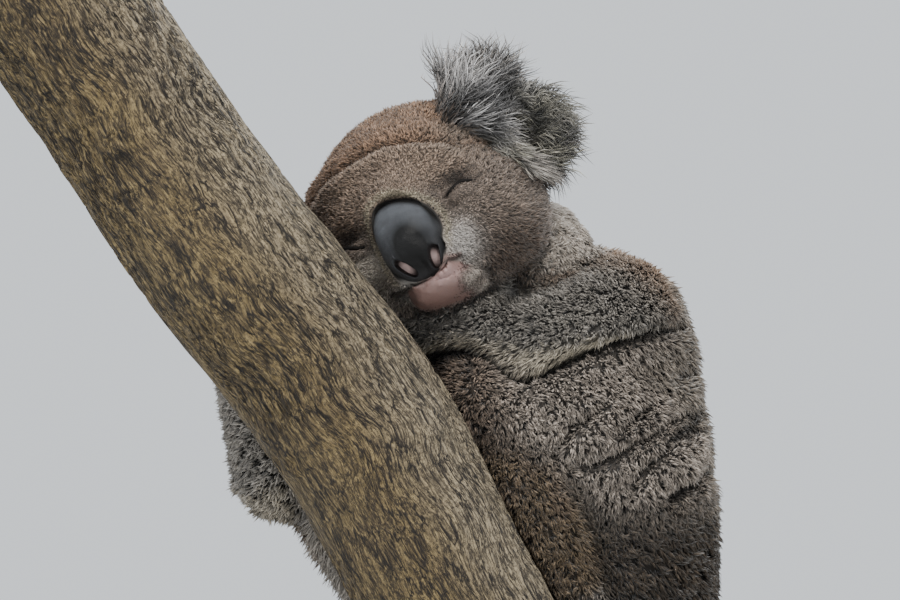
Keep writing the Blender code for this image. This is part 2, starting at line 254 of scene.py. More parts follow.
# One tone laid over another where a value runs from low to high, up to the most given.
def layer(tree, under, over, value, low, high, most=1):
    return mixColour(tree, mapRange(tree, value, low, high, 0, most), under, over)


# The tone, and a roughness that runs from one level to another with a value, put into the shader.
def setFinish(tree, shader, tone, value, start, end, low=0.3, high=0.7):
    tree.links.new(tone, shader.inputs["Base Color"])
    tree.links.new(mapRange(tree, value, low, high, start, end), shader.inputs["Roughness"])


# Speckle group: object-space noise as a mask that is mostly 0 with grains of 1.
def speckleGroup():
    group = bpy.data.node_groups.new("speckle", "ShaderNodeTree")
    for name, value in (("Scale", 300), ("Amount", 0.5)):
        socket = group.interface.new_socket(name, in_out="INPUT", socket_type="NodeSocketFloat")
        socket.default_value = value
    for name in ("Mask", "Grain"):
        group.interface.new_socket(name, in_out="OUTPUT", socket_type="NodeSocketFloat")
    given = group.nodes.new("NodeGroupInput")
    put = group.nodes.new("NodeGroupOutput")
    place = group.nodes.new("ShaderNodeTexCoord")
    noise = addNode(group, "ShaderNodeTexNoise", {"Detail": 3.0, "Roughness": 0.6})
    join(group, place, "Object", noise, "Vector")
    join(group, given, "Scale", noise, "Scale")
    sharp = addNode(group, "ShaderNodeMapRange", {"From Min": 0.42, "From Max": 0.62})
    join(group, noise, "Fac", sharp, "Value")
    weigh = addNode(group, "ShaderNodeMath", operation="MULTIPLY")
    join(group, sharp, "Result", weigh, 0)
    join(group, given, "Amount", weigh, 1)
    join(group, weigh, 0, put, "Mask")
    join(group, noise, "Fac", put, "Grain")
    return group


speckle = speckleGroup()


# The speckle group put into a material.
def placeSpeckle(tree, scale, amount):
    node = tree.nodes.new("ShaderNodeGroup")
    node.node_tree = speckle
    node.inputs["Scale"].default_value = scale
    node.inputs["Amount"].default_value = amount
    return node


# Small relief from a height, put into the shader's normal.
def addBump(tree, shader, height, strength, distance):
    bump = addNode(tree, "ShaderNodeBump", {"Strength": strength, "Distance": distance})
    tree.links.new(height, bump.inputs["Height"])
    tree.links.new(bump.outputs["Normal"], shader.inputs["Normal"])
    return bump


# The studio: camera, light and floor.
viewpoint = {"at": (-0.02, -3.0, 0.43), "lens": 206.9}
lights = {
    "key": {"at": (0.35, -1.5, 2.7), "size": 1.6, "power": 95, "colour": (1.0, 0.97, 0.93)},
    "rim": {"at": (1.1, 1.9, 1.9), "size": 1.3, "power": 80, "colour": (0.93, 0.97, 1.0)},
    "fill": {"at": (-1.9, -2.0, 1.1), "size": 1.6, "power": 26, "colour": (0.95, 0.97, 1.0)},
}
surroundings = {
    "sky": (0.80, 0.84, 0.88), "strength": 1.15,
    "floor": (0.70, 0.70, 0.69), "radius": 4.0, "fadeStart": 1.2,
}


# A long lens, level, in front.
def addCamera():
    camera = bpy.data.objects.new("camera", bpy.data.cameras.new("camera"))
    camera.data.lens = viewpoint["lens"]
    camera.data.clip_start, camera.data.clip_end = 0.05, 60
    camera.location = viewpoint["at"]
    camera.rotation_euler = (math.radians(90), 0, 0)
    bpy.context.scene.collection.objects.link(camera)
    bpy.context.scene.camera = camera


# Three round lamps turned towards the animal, and a pale sky.
def addLights():
    for name, made in lights.items():
        lamp = bpy.data.lights.new(name, "AREA")
        lamp.shape, lamp.size = "DISK", made["size"]
        lamp.energy, lamp.color = made["power"], made["colour"]
        obj = bpy.data.objects.new(name, lamp)
        obj.location = made["at"]
        obj.rotation_euler = (Vector((0, 0, 0.36)) - obj.location).to_track_quat("-Z", "Y").to_euler()
        bpy.context.scene.collection.objects.link(obj)
    world = bpy.data.worlds.new("studio")
    world.use_nodes = True
    shade = world.node_tree.nodes["Background"]
    shade.inputs["Color"].default_value = (*surroundings["sky"], 1)
    shade.inputs["Strength"].default_value = surroundings["strength"]
    bpy.context.scene.world = world


# A round floor that fades out towards its rim, so it has no edge.
def addFloor():
    turn = ringTurns(64)
    rim = np.stack([np.cos(turn), np.sin(turn), 0 * turn], 1) * surroundings["radius"]
    floor = meshObject("floor", rim, np.arange(64)[None])
    made, tree, shader = newMaterial("paleFloor", 0.85)
    shader.inputs["Base Color"].default_value = (*surroundings["floor"], 1)
    place = tree.nodes.new("ShaderNodeTexCoord")
    far = addNode(tree, "ShaderNodeVectorMath", operation="LENGTH")
    join(tree, place, "Object", far, 0)
    fadeEnd = surroundings["radius"] * 0.97
    fade = mapRange(tree, far.outputs["Value"], surroundings["fadeStart"], fadeEnd, 1.0, 0.0)
    tree.links.new(fade, shader.inputs["Alpha"])
    floor.data.materials.append(made)


addCamera()
addLights()
addFloor()
print("camera, light and floor")


# The head's own axes: its middle, and its turns in degrees.
headPose = {"at": (-0.0345, -0.0200, 0.4760), "roll": 28, "pitch": 12, "yaw": 13}


# The head's axes as columns: left, up the face, out of the face.
def headAxes():
    turns = (("X", 90), ("Z", headPose["roll"]), ("X", -headPose["pitch"]), ("Y", -headPose["yaw"]))
    total = Matrix.Identity(3)
    for axis, angle in turns:
        total = total @ Matrix.Rotation(math.radians(angle), 3, axis)
    return np.array(total)


headTurn = headAxes()


# Places in metres turned into the head's axes, in millimetres.
def toHead(points):
    return (points - np.array(headPose["at"])) @ headTurn / mm


# Places in the head's axes turned back into metres.
def fromHead(places):
    return np.asarray(places, float) * mm @ headTurn.T + np.array(headPose["at"])


# The branch: places along each limb with their radius, in metres.
branch = {
    "limb": (
        (-0.274, -0.085, 0.644, 0.053),
        (-0.214, -0.086, 0.556, 0.052),
        (-0.154, -0.085, 0.468, 0.053),
        (-0.078, -0.085, 0.369, 0.053),
        (-0.022, -0.080, 0.267, 0.051),
        (0.012, -0.050, 0.195, 0.056),
        (0.036, -0.018, 0.135, 0.066),
        (0.042, -0.010, 0.086, 0.070),
    ),
    "fork": (
        (0.036, -0.012, 0.120, 0.050),
        (0.078, 0.020, 0.152, 0.047),
        (0.122, 0.058, 0.182, 0.042),
        (0.158, 0.088, 0.214, 0.039),
    ),
    "plateWidth": 0.0040,
    "plateStretch": 3.6,
    "crackDepth": 0.0013,
    "knots": (  # place on the bark and size
        (-0.119, -0.113, 0.338, 0.009),
        (-0.038, -0.118, 0.361, 0.011),
        (-0.205, -0.130, 0.520, 0.008),
        (-0.170, -0.045, 0.545, 0.011),
        (0.050, 0.035, 0.150, 0.010),
    ),
}
limbLine = smoothCurve(branch["limb"], 4 * mm)
forkLine = smoothCurve(branch["fork"], 4 * mm)


# How far each point is outside the bark, and the way out of it.
def barkGap(points):
    gap = np.full(len(points), 1e9)
    out = np.zeros_like(points)
    for line in (limbLine, forkLine):
        for start in range(0, len(points), 40000):
            part = slice(start, start + 40000)
            away = points[part, None, :] - line[None, :, :3]
            distance = np.linalg.norm(away, axis=2) - line[None, :, 3]
            index = distance.argmin(1)
            row = np.arange(len(index))
            closer = distance[row, index] < gap[part]
            gap[part] = np.where(closer, distance[row, index], gap[part])
            out[part] = np.where(closer[:, None], unit(away[row, index]), out[part])
    return gap, out


# A tube round a line: rings carried without twist, with lumps, knots and shallow plates worked into them.
# Plates are the cells nearest to scattered seeds, long along the branch; cracks run where two meet.
def barkTube(name, knots, around, spacing, seed):
    rows = smoothCurve(knots, spacing)
    line, radius = rows[:, :3], rows[:, 3]
    along = unit(np.gradient(line, axis=0))
    first = unit(np.cross(along, (0, 1, 0)))
    second = np.cross(along, first)
    run = np.concatenate([[0], np.cumsum(np.linalg.norm(np.diff(line, axis=0), axis=1))])
    turn = ringTurns(around)
    out = np.cos(turn)[None, :, None] * first[:, None] + np.sin(turn)[None, :, None] * second[:, None]
    flat = np.stack([
        np.cos(turn)[None] * radius[:, None],
        np.sin(turn)[None] * radius[:, None],
        np.broadcast_to(run[:, None], (len(run), around)),
    ], -1).reshape(-1, 3)
    wander = 0
    for size, offset, most in ((0.03, 0, (0.005, 0.005, 0.0)), (0.008, 5, (0.0006, 0.0006, 0.003))):
        noises = [softNoise(flat, size, seed + offset + k) for k in range(3)]
        wander = wander + np.stack(noises, -1) * most
    stretched = (flat + wander) / (1, 1, branch["plateStretch"])
    _, border = nearestSeed(stretched, branch["plateWidth"], seed)
    patchy = ease(softNoise(flat / (1, 1, 1.6), 0.045, seed + 12), -0.5, 0.35)
    crack = (1 - ease(border, 0.02, 0.26)) * patchy
    lump = softNoise(flat / (1, 1, 1.8), 0.040, seed + 30) * 0.0016
    lump = lump + softNoise(flat / (1, 1, 1.5), 0.013, seed + 31) * 0.0007
    fibre = softNoise(flat / (1, 1, 6), 0.0036, seed + 21)
    lift = lump - branch["crackDepth"] * crack + 0.00030 * fibre
    shell = (line[:, None] + out * radius[:, None, None]).reshape(-1, 3)
    knot = np.zeros(len(flat))
    for x, y, z, size in branch["knots"]:
        reach = np.linalg.norm(shell - (x, y, z), axis=1) * (1 + 0.25 * softNoise(flat, 0.006, seed + 40))
        lift += (bell(reach - size, size * 0.5) - 0.8 * bell(reach, size * 0.5)) * 0.0024
        knot += bell(reach, size * 0.75)
    shell = line[:, None] + out * (radius[:, None] + lift.reshape(len(run), around) - 0.0005)[..., None]
    count = len(run)
    index = np.arange(count * around).reshape(count, around)
    right = np.roll(index, -1, axis=1)
    corners, faces = [shell.reshape(-1, 3)], [index[:-1], right[:-1], right[1:], index[1:]]
    faces = [np.stack(faces, -1).reshape(-1, 4)]
    # painted light: the side of the bark facing up and to the right is made paler
    upper = ease((out * (0.72, -0.25, 0.64)).sum(2), 0.15, 0.95).ravel()
    values = [np.stack([crack, knot, 0 * knot, 0 * knot + 1, upper], 1)]
    grain = [(flat + wander) / (1, 1, 5)]
    # a sawn face at each end: rings drawn in to the middle, behind a small step at the bark
    for end, step in ((0, 1), (count - 1, -1)):
        ring = index[end]
        for share in (0.985, 0.955, 0.85, 0.6, 0.3, 0.03):
            start = sum(len(part) for part in corners)
            sink = 0.0012 if share < 0.98 else 0.0
            corners.append(line[end] + (shell[end] - line[end]) * share + along[end] * step * sink)
            sawn = float(share < 0.98)
            values.append(np.tile((0, 0, sawn, share, 0), (around, 1)))
            grain.append(grain[0][index[end]])
            inner = start + np.arange(around)
            quad = [ring, inner, np.roll(inner, -1), np.roll(ring, -1)]
            faces.append(np.stack(quad if step > 0 else quad[::-1], -1))
            ring = inner
        start = sum(len(part) for part in corners)
        corners.append(corners[-1].mean(0)[None])
        values.append(np.array([(0, 0, 1, 0, 0)]))
        grain.append(grain[0][:1])
        fan = [ring, np.full(around, start), np.roll(ring, -1)]
        faces.append(np.stack(fan if step > 0 else fan[::-1], -1))
    triangles = [np.vstack([f[:, [0, 1, 2]], f[:, [0, 2, 3]]]) if f.shape[1] == 4 else f for f in faces]
    obj = meshObject(name, np.vstack(corners), np.vstack(triangles)[:, ::-1])
    for column, key in enumerate(barkValues):
        addValue(obj, key, np.clip(np.vstack(values)[:, column], 0, 1))
    grainRows = obj.data.attributes.new("grain", "FLOAT_VECTOR", "POINT")
    grainRows.data.foreach_set("vector", np.vstack(grain).astype(np.float32).ravel())
    return obj


barkLook = {
    "olive": (0.074, 0.052, 0.025), "plate": (0.126, 0.089, 0.036), "pale": (0.30, 0.220, 0.095),
    # upper is painted light, a pale tone on the bark's upper right side
    "upper": (0.39, 0.330, 0.235), "grit": (0.075, 0.054, 0.032), "seam": (0.060, 0.043, 0.025),
    "stroke": (0.026, 0.018, 0.010), "fine": (0.022, 0.015, 0.009), "crack": (0.012, 0.008, 0.005),
    "knot": (0.055, 0.036, 0.020), "sawn": (0.46, 0.33, 0.19), "ring": (0.30, 0.19, 0.10),
    "sway": (0.0016, 0.0016, 0.0008),  # how far the cracks wander across and along
    # scale and width of the cracks, and the levels of a broader noise between which they fade in
    "coarseCracks": (260.0, 0.052, 0.42, 0.53), "fineCracks": (620.0, 0.065, 0.42, 0.54),
    "rings": 130.0, "ringWobble": 9.0, "bump": 0.0026,
}
barkValues = ("crack", "knot", "sawn", "radial", "upper")


# Thin dark cracks: the level lines of a stretched noise, broken up where a broader noise is low.
def crackMask(tree, place, scale, width, keepLow, keepHigh):
    height = noiseAt(tree, place, "Vector", scale, 2.5, Roughness=0.55)
    away = calculate(tree, "ABSOLUTE", calculate(tree, "SUBTRACT", height, 0.5))
    line = mapRange(tree, away, width * 0.25, width, 1, 0)
    broad = noiseAt(tree, place, "Vector", scale * 0.55, 3.0, Roughness=0.6)
    return calculate(tree, "MULTIPLY", line, mapRange(tree, broad, keepLow, keepHigh, 0, 1))


# Bark: olive to pale tan, flaky, paler on its upper right side as painted light, with broken near-black
# cracks along the grain, and sawn ends with rings.
def barkMaterial():
    made, tree, shader = newMaterial("bark", 0.92)
    place = tree.nodes.new("ShaderNodeTexCoord")
    grain = carried(tree, "grain")
    crack, knot, sawn, radial, upper = (carried(tree, key).outputs["Fac"] for key in barkValues)
    warp = addNode(tree, "ShaderNodeTexNoise", {"Scale": 120.0, "Detail": 3.0})
    join(tree, grain, "Vector", warp, "Vector")
    sway = addNode(tree, "ShaderNodeVectorMath", {1: barkLook["sway"]}, operation="MULTIPLY")
    join(tree, warp, "Color", sway, 0)
    bent = addNode(tree, "ShaderNodeVectorMath", operation="ADD")
    join(tree, grain, "Vector", bent, 0)
    join(tree, sway, "Vector", bent, 1)
    broad = noiseAt(tree, place, "Object", 24.0, 4.0, Roughness=0.6)
    flake = noiseAt(tree, bent, "Vector", 480.0, 5.0, Roughness=0.72)
    grit = noiseAt(tree, place, "Object", 620.0, 5.0, Roughness=0.75)
    coarse = crackMask(tree, bent, *barkLook["coarseCracks"])
    fine = crackMask(tree, bent, *barkLook["fineCracks"])
    strokes = mapRange(tree, noiseAt(tree, bent, "Vector", 950.0, 4.0, Roughness=0.65), 0.46, 0.36, 0, 1)
    tone = layer(tree, barkLook["olive"], barkLook["plate"], broad, 0.36, 0.62)
    for over, value, low, high, most in (
        ("pale", flake, 0.42, 0.64, 0.9),
        # painted light: paler on the upper right side
        ("upper", upper, 0, 1, 0.6),
        ("grit", grit, 0.52, 0.38, 0.75),
        ("seam", crack, 0.3, 1.0, 0.25),
        ("stroke", strokes, 0, 1, 0.80),
        ("fine", fine, 0, 1, 0.85),
        ("crack", coarse, 0, 1, 0.97),
        ("knot", knot, 0.3, 1.0, 0.7),
    ):
        tone = layer(tree, tone, barkLook[over], value, low, high, most)
    rings = calculate(tree, "MULTIPLY", radial, barkLook["rings"])
    wave = calculate(tree, "SINE", calculate(tree, "MULTIPLY_ADD", broad, barkLook["ringWobble"], rings))
    wood = layer(tree, barkLook["sawn"], barkLook["ring"], wave, -1, 1, 0.75)
    setFinish(tree, shader, mixColour(tree, sawn, tone, wood), flake, 0.98, 0.84)
    height = flake
    for mask, depth in ((fine, -0.55), (coarse, -1.0), (strokes, -0.6)):
        height = calculate(tree, "MULTIPLY_ADD", mask, depth, height)
    addBump(tree, shader, height, 1.0, barkLook["bump"])
    return made


# Bark over both limbs.
def addBranch():
    bark = barkMaterial()
    limb = barkTube("barkLimb", branch["limb"], 216, 1.8 * mm, 3)
    fork = barkTube("barkFork", branch["fork"], 150, 1.9 * mm, 40)
    for obj, node in ((limb, "perch_limb"), (fork, "perch_fork")):
        obj.data.materials.append(bark)
        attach(obj, "root")
        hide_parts(node)
        print(obj.name, len(obj.data.polygons), "triangles")


addBranch()

# The skin is one sheet over all the flesh.
sides = ("left", "right")
fleshNodes = ["head", "jaw", "neck", "trunk"]
for side in sides:
    for part in ("eyelid", "ear", "upper_arm", "forearm", "hand", "thigh", "shank", "foot"):
        fleshNodes.append(f"{part}_{side}")

# Coat over each region: depth of the skin under its tips (mm), tufts to a square centimetre, their length,
# width (mm) and lift off the skin (degrees).
coats = {
    "head": {"depth": 2.6, "dense": 108, "length": 5.0, "width": 0.90, "lift": 38},
    "jaw": {"depth": 0.8, "dense": 90, "length": 3.2, "width": 0.8, "lift": 30},
    "eyelid": {"depth": 1.4, "dense": 130, "length": 3.2, "width": 0.8, "lift": 28},
    "ear": {"depth": 4.4, "dense": 150, "length": 25, "width": 0.8, "lift": 24},
    "neck": {"depth": 5.0, "dense": 130, "length": 7.0, "width": 1.25, "lift": 24},
    "trunk": {"depth": 6.8, "dense": 38, "length": 10.5, "width": 1.9, "lift": 46},
    "upper_arm": {"depth": 5.6, "dense": 105, "length": 8.0, "width": 1.3, "lift": 56},
    "forearm": {"depth": 5.0, "dense": 95, "length": 8.0, "width": 1.3, "lift": 54},
    "hand": {"depth": 1.5, "dense": 32, "length": 5, "width": 1.3, "lift": 26},
    "thigh": {"depth": 6.4, "dense": 98, "length": 8.2, "width": 1.35, "lift": 58},
    "shank": {"depth": 5.2, "dense": 80, "length": 8.0, "width": 1.4, "lift": 48},
    "foot": {"depth": 1.5, "dense": 32, "length": 5, "width": 1.3, "lift": 26},
}
regionNames = list(coats)
faceRegions, armRegions = ("head", "jaw", "eyelid"), ("upper_arm", "forearm")
earDivide = -0.03  # the left ear lies beyond this x, the right ear before it
skinMake = {"voxel": 2.55 * mm, "swell": 0.6 * mm, "rounds": 16}


# A node's region: its name without its side.
def regionOf(node):
    return node.rsplit("_", 1)[0] if node.endswith(("_left", "_right")) else node


# A CAD node's corners and triangles, its loose triangles merged, and the way out at each corner.
def mergedNode(name):
    work = bmesh.new()
    work.from_mesh(nodes[name].data)
    bmesh.ops.remove_doubles(work, verts=work.verts, dist=0.01 * mm)
    bmesh.ops.triangulate(work, faces=work.faces)
    mesh = bpy.data.meshes.new("merged")
    work.to_mesh(mesh)
    work.free()
    corners, triangles = readMesh(mesh)
    bpy.data.meshes.remove(mesh)
    return corners, triangles, cornerNormals(corners, triangles)


# A mesh's corners and its faces' corner numbers.
def readMesh(mesh):
    corners = np.empty(len(mesh.vertices) * 3)
    mesh.vertices.foreach_get("co", corners)
    loops = np.empty(len(mesh.loops), np.int64)
    mesh.loops.foreach_get("vertex_index", loops)
    return corners.reshape(-1, 3), loops.reshape(len(mesh.polygons), -1)


# The mean of the faces round each corner, by their area.
def cornerNormals(corners, triangles):
    a, b, c = (corners[triangles[:, k]] for k in range(3))
    faceNormal = np.cross(b - a, c - a)
    total = np.zeros_like(corners)
    for k in range(3):
        for axis in range(3):
            total[:, axis] += np.bincount(triangles[:, k], faceNormal[:, axis], len(corners))
    return unit(total)


# Each edge of the triangles once, as two corner numbers.
def edgesOf(triangles):
    pairs = np.vstack([triangles[:, [0, 1]], triangles[:, [1, 2]], triangles[:, [2, 0]]])
    return np.unique(np.sort(pairs, 1), axis=0)


# Moves each value by a share of the way to the mean of its neighbours.
def relax(values, edges, share, rounds=1):
    count = len(values)
    degree = np.maximum(np.bincount(edges.ravel(), minlength=count), 1)
    for _ in range(rounds):
        mean = np.empty_like(values)
        for column in range(values.shape[1]):
            there = np.bincount(edges[:, 0], values[edges[:, 1], column], count)
            back = np.bincount(edges[:, 1], values[edges[:, 0], column], count)
            mean[:, column] = (there + back) / degree
        values = values + share * (mean - values)
    return values


# All flesh in one closed sheet: the nodes, swollen to close their thin cuts, melted together, and
# the face divided once more, and the nose's and eyes' surroundings twice.
def meltFlesh():
    corners, triangles, owner, start = [], [], [], 0
    for name in fleshNodes:
        places, faces, normals = mergedNode(name)
        corners.append(places + normals * skinMake["swell"])
        triangles.append(faces + start)
        owner += [regionNames.index(regionOf(name))] * len(faces)
        start += len(places)
    corners, triangles = np.vstack(corners), np.vstack(triangles)
    soup = meshObject("soup", corners, triangles)
    melt = soup.modifiers.new("melt", "REMESH")
    melt.mode, melt.voxel_size = "VOXEL", skinMake["voxel"]
    graph = bpy.context.evaluated_depsgraph_get()
    melted = bpy.data.meshes.new_from_object(soup.evaluated_get(graph))
    bpy.data.objects.remove(soup)
    work = bmesh.new()
    work.from_mesh(melted)
    for reach, middle in ((62, (0, -8, 40)), (34, (0, -14, 52))):
        work.verts.ensure_lookup_table()
        places = toHead(np.array([v.co for v in work.verts]))
        near = np.linalg.norm(places - middle, axis=1) < reach
        inside = [e for e in work.edges if near[e.verts[0].index] and near[e.verts[1].index]]
        bmesh.ops.subdivide_edges(work, edges=inside, cuts=1, use_grid_fill=True)
        work.verts.index_update()
    bmesh.ops.triangulate(work, faces=work.faces)
    work.to_mesh(melted)
    work.free()
    places, faces = readMesh(melted)
    places, faces = largestBody(places, faces)
    return places, faces, corners, triangles, np.array(owner)


# Keeps the body with the most corners, so that no bubble stays inside.
def largestBody(places, faces):
    label = np.arange(len(places))
    edges = edgesOf(faces)
    while True:
        least = label.copy()
        np.minimum.at(least, edges[:, 0], label[edges[:, 1]])
        np.minimum.at(least, edges[:, 1], label[edges[:, 0]])
        least = least[least]
        if (least == label).all():
            break
        label = least
    keep = label == np.bincount(label).argmax()
    renumber = np.cumsum(keep) - 1
    return places[keep], renumber[faces[keep[faces[:, 0]]]]


places, skinFaces, solidCorners, solidFaces, solidOwner = meltFlesh()
skinEdges = edgesOf(skinFaces)
print("skin melted", len(places), "corners", len(skinFaces), "triangles")

tree = BVHTree.FromPolygons(solidCorners.tolist(), solidFaces.tolist())
nearest = np.array([tree.find_nearest(place)[2] for place in places.tolist()])
share = np.zeros((len(places), len(regionNames)))
share[np.arange(len(places)), solidOwner[nearest]] = 1
share = relax(share, skinEdges, 0.6, 10)
leftSide = places[:, 1] < 0.0


# A setting of the coats, averaged by each row's shares of the regions.
def blendOf(key, shares):
    return shares @ np.array([coats[name][key] for name in regionNames], float)


# The sum of the shares of the named regions.
def weightOf(*names, shares=None):
    chosen = share if shares is None else shares
    return chosen[:, [regionNames.index(name) for name in names]].sum(1)


# Corners or roots on one ear's side of the head.
def besideEar(points, side):
    return (points[:, 0] > earDivide) == (side == "left")


# Taubin smoothing: each round of shrinking is followed by one of swelling. Fingers get the least.
calm = 1 - 0.75 * ease(weightOf("hand", "foot"), 0.2, 0.7)
for _ in range(skinMake["rounds"]):
    places = places + calm[:, None] * (relax(places, skinEdges, 0.6) - places)
    places = places + calm[:, None] * (relax(places, skinEdges, -0.62) - places)
sunk = blendOf("depth", share) * mm + skinMake["swell"]
places = places - cornerNormals(places, skinFaces) * sunk[:, None]
places = places + (relax(places, skinEdges, 0.5, 3) - places) * calm[:, None]
print("skin smoothed and sunk under the coat")

# The face's lines in the skin: the brow's ridge, the closed eyes, the mouth and what bulges round them.
face = {
    "ridge": {
        "left": (-60, -32, -19, -6, 8.6, 22, 36, 47),
        "up": (35, 37.5, 36, 35.6, 34.2, 29.6, 21.8, 13),
        "height": 2.6, "groove": 3.6,
    },
    "slit": {  # side 1 is the left eye, -1 the right
        "left": (27.4, 31, 35, 37.7, 40.3, 43.1, 46.8),
        "up": {
            1: (-5.4, -4.1, -2.4, -1.3, -1.9, -3.2, -4.8),
            -1: (-6.2, -5.3, -3.2, -1.4, 0.2, 2.0, 4.0),
        },
        "depth": 2.6, "width": 1.4,
    },
    "mouth": {
        "left": (-28, -20, -10.8, -4, 2.2, 9, 15.7, 20.5),
        "up": (-36.5, -40.6, -43.4, -44.8, -44.4, -43.3, -41.0, -40.0),
        "depth": 3.4, "width": 1.2,
    },
    "eyeBulges": {"hollow": -4.2, "browBulge": 1.6, "underEye": 1.8},
    "lipOut": 61.5,
}
# Soft oval patches on the face: the middle, and the size from it, to the left and up.
patches = {
    "hollow": ((35.5, 2.6), (9.5, 5.0)),
    "browBulge": ((31, 14), (9, 9)),
    "underEye": ((38, -11.5), (9, 9)),
    "lowerLip": ((9, -47.5), (13, 5.0)),
    "chinBall": ((12, -50), (8, 5.0)),
    "chin": ((0.5, -47.6), (21.5, 9.8)),
    # chinHighlight: a painted highlight on the front of the chin
    "chinHighlight": ((8, -47), (8, 4)),
    # socket: painted shade in the hollow above each closed eye
    "socket": ((35.5, 2.2), (8.5, 5.0)),
    "eyeHair": ((35, -3), (11, 11)),
    "temple": ((47, 28), (13, 13)),
    "farMuzzle": ((-27, -22), (10, 13)),
    # farCheekLight: where painted light lifts the shade on the far cheek
    "farCheekLight": ((-33, -19), (13, 17)),
    # cheekStreak and lowStreak: dark brown fur on the lower cheek, and painted shade beside the chin
    "cheekStreak": ((47, -44), (17, 13)),
    "lowStreak": ((34, -48), (10, 9)),
    "earOuter": ((80, 18), (10, 14)),
    "earUpper": ((56, 50), (9, 12)),
    # noseBlack: where painted shade lies on the nose's lower half
    "noseBlack": ((3.0, -27), (9.5, 14.5)),
    "leftFlush": ((10.8, -36.8), (5.0, 5.0)),
    "rightFlush": ((-8.0, -34.2), (5.0, 5.0)),
}
nosePad = {  # its middle to the left and up, half its size, and how far out its rim and its front are
    "left": -1.0, "middle": -19.1, "halfWidth": 18.5, "halfHeight": 25.9, "base": 54.0, "front": 78.5,
}


# Distance in the face's plane from a line of short strokes, and the share of the way along it.
def fromPath(left, up, lefts, ups):
    best = np.full(np.shape(left), 1e9)
    share = np.zeros(np.shape(left))
    last = len(lefts) - 1
    for k in range(last):
        way = (lefts[k + 1] - lefts[k], ups[k + 1] - ups[k])
        along = ((left - lefts[k]) * way[0] + (up - ups[k]) * way[1]) / (way[0] ** 2 + way[1] ** 2)
        along = np.clip(along, 0, 1)
        distance = np.hypot(left - lefts[k] - along * way[0], up - ups[k] - along * way[1])
        share = np.where(distance < best, (k + along) / last, share)
        best = np.minimum(best, distance)
    return best, share


# Distance from the closed eye's slit on one side, and the share of the way along it.
def fromSlit(side, left, up):
    return fromPath(left * side, up, face["slit"]["left"], face["slit"]["up"][side])


# Distance from the mouth line, and the share of the way along it.
def fromMouth(left, up):
    return fromPath(left, up, face["mouth"]["left"], face["mouth"]["up"])


# Height over the mouth line.
def overMouth(left, up):
    return up - np.interp(left, face["mouth"]["left"], face["mouth"]["up"])


# Distance from a patch's middle, 1 at its edge.
def patchReach(name, left, up):
    middle, size = patches[name]
    return np.hypot((left - middle[0]) / size[0], (up - middle[1]) / size[1])


# 1 in the middle of a patch, falling off across it.
def inPatch(name, left, up):
    return bell(patchReach(name, left, up), 1)


# How far outside the nose's outline a place in the face's plane is, as a share of its size.
def noseReach(left, up):
    rise = (up - nosePad["middle"]) / nosePad["halfHeight"]
    narrow = 1 - 0.055 * ease(-rise, 0.1, 0.35)
    middle = 0.2 - 4.0 * np.clip(rise, 0, 1.1) ** 3  # it leans to the right above, and turns back below
    middle = middle - 0.8 * ease(-rise, 0, 0.3) + 1.4 * ease(-rise, 0.45, 0.9)
    across = (left - middle) / (nosePad["halfWidth"] * narrow)
    power = 2.6 - 0.4 * ease(rise, 0.2, 0.9)
    return (np.abs(across) ** power + np.abs(rise) ** power) ** (1 / power)


# Sum of ridges and grooves along the skin's normal, in millimetres.
def faceRelief(local):
    left, up, out = local.T
    front = ease(out, -5, 22)
    ridge, slit, mouth = face["ridge"], face["slit"], face["mouth"]
    overRidge = up - np.interp(left, ridge["left"], ridge["up"])
    span = (1 - ease(left, 30, 46)) * ease(left, -62, -48) * ease(out, -25, 0)
    lift = ridge["height"] * bell(overRidge + 2.0, 5.0) - ridge["groove"] * bell(overRidge - 5.0, 4.0)
    lift = lift * span
    for side in (1, -1):
        distance, along = fromSlit(side, left, up)
        lift -= front * slit["depth"] * bell(distance, slit["width"]) * (1 - 0.6 * along)
        for patch, height in face["eyeBulges"].items():
            lift += front * height * inPatch(patch, left * side, up)
        fromEye = left * side - 36
        crease = up + 10.5 + 0.02 * fromEye ** 2
        lift -= front * 0.8 * bell(crease, 1.6) * (1 - ease(np.abs(fromEye), 8, 16))
    distance, _ = fromMouth(left, up)
    lift -= ease(out, 20, 34) * mouth["depth"] * bell(distance, mouth["width"])
    lift += ease(out, 24, 34) * 2.4 * inPatch("lowerLip", left, up)
    lift -= 2.6 * bell(patchReach("chin", left, up) - 1.13, 0.12) * ease(-up, 44, 48) * ease(out, 3, 14)
    lift += 1.3 * inPatch("chinBall", left, up) * ease(out, 14, 28)
    cleft = bell(left - 3, 1.1) * ease(-up, 36, 42) * (1 - ease(-up, 43, 46))
    lift -= 1.5 * cleft * ease(out, 30, 45)
    return lift


# The bare chin under the mouth line: 1 inside, 0 outside.
def chinShare(local):
    left, up, out = local.T
    inside = 1 - ease(patchReach("chin", left, up), 0.92, 1.02)
    return inside * ease(-overMouth(left, up), -0.6, 0.6) * ease(out, 10, 17)


# The fuzzy pale end of the chin, towards the cheek.
def chinFuzz(left, up):
    return ease(left + 0.7 * (-up - 48), 15.5, 20.5)


# The throat below the chin, where the hair is like the arm's.
def throatShare(local):
    left, up, out = local.T
    low = ease(-up + 0.2 * np.clip(-left, 0, 30), 52.5, 56)
    return low * ease(patchReach("chin", left, up), 1.10, 1.22) * between(out, -22, 42, 8)


# Ears: the thin gristle inside the hair, drawn in towards its root.
earRoots = {"left": (47, 30, -12), "right": (-50, 24, -20)}
for side in sides:
    root = fromHead(earRoots[side])
    mine = weightOf("ear") * besideEar(places, side)
    places = places + (root - places) * (0.26 * ease(mine, 0.15, 0.8))[:, None]

headWeight = ease(weightOf(*faceRegions), 0.25, 0.75)
local = toHead(places)
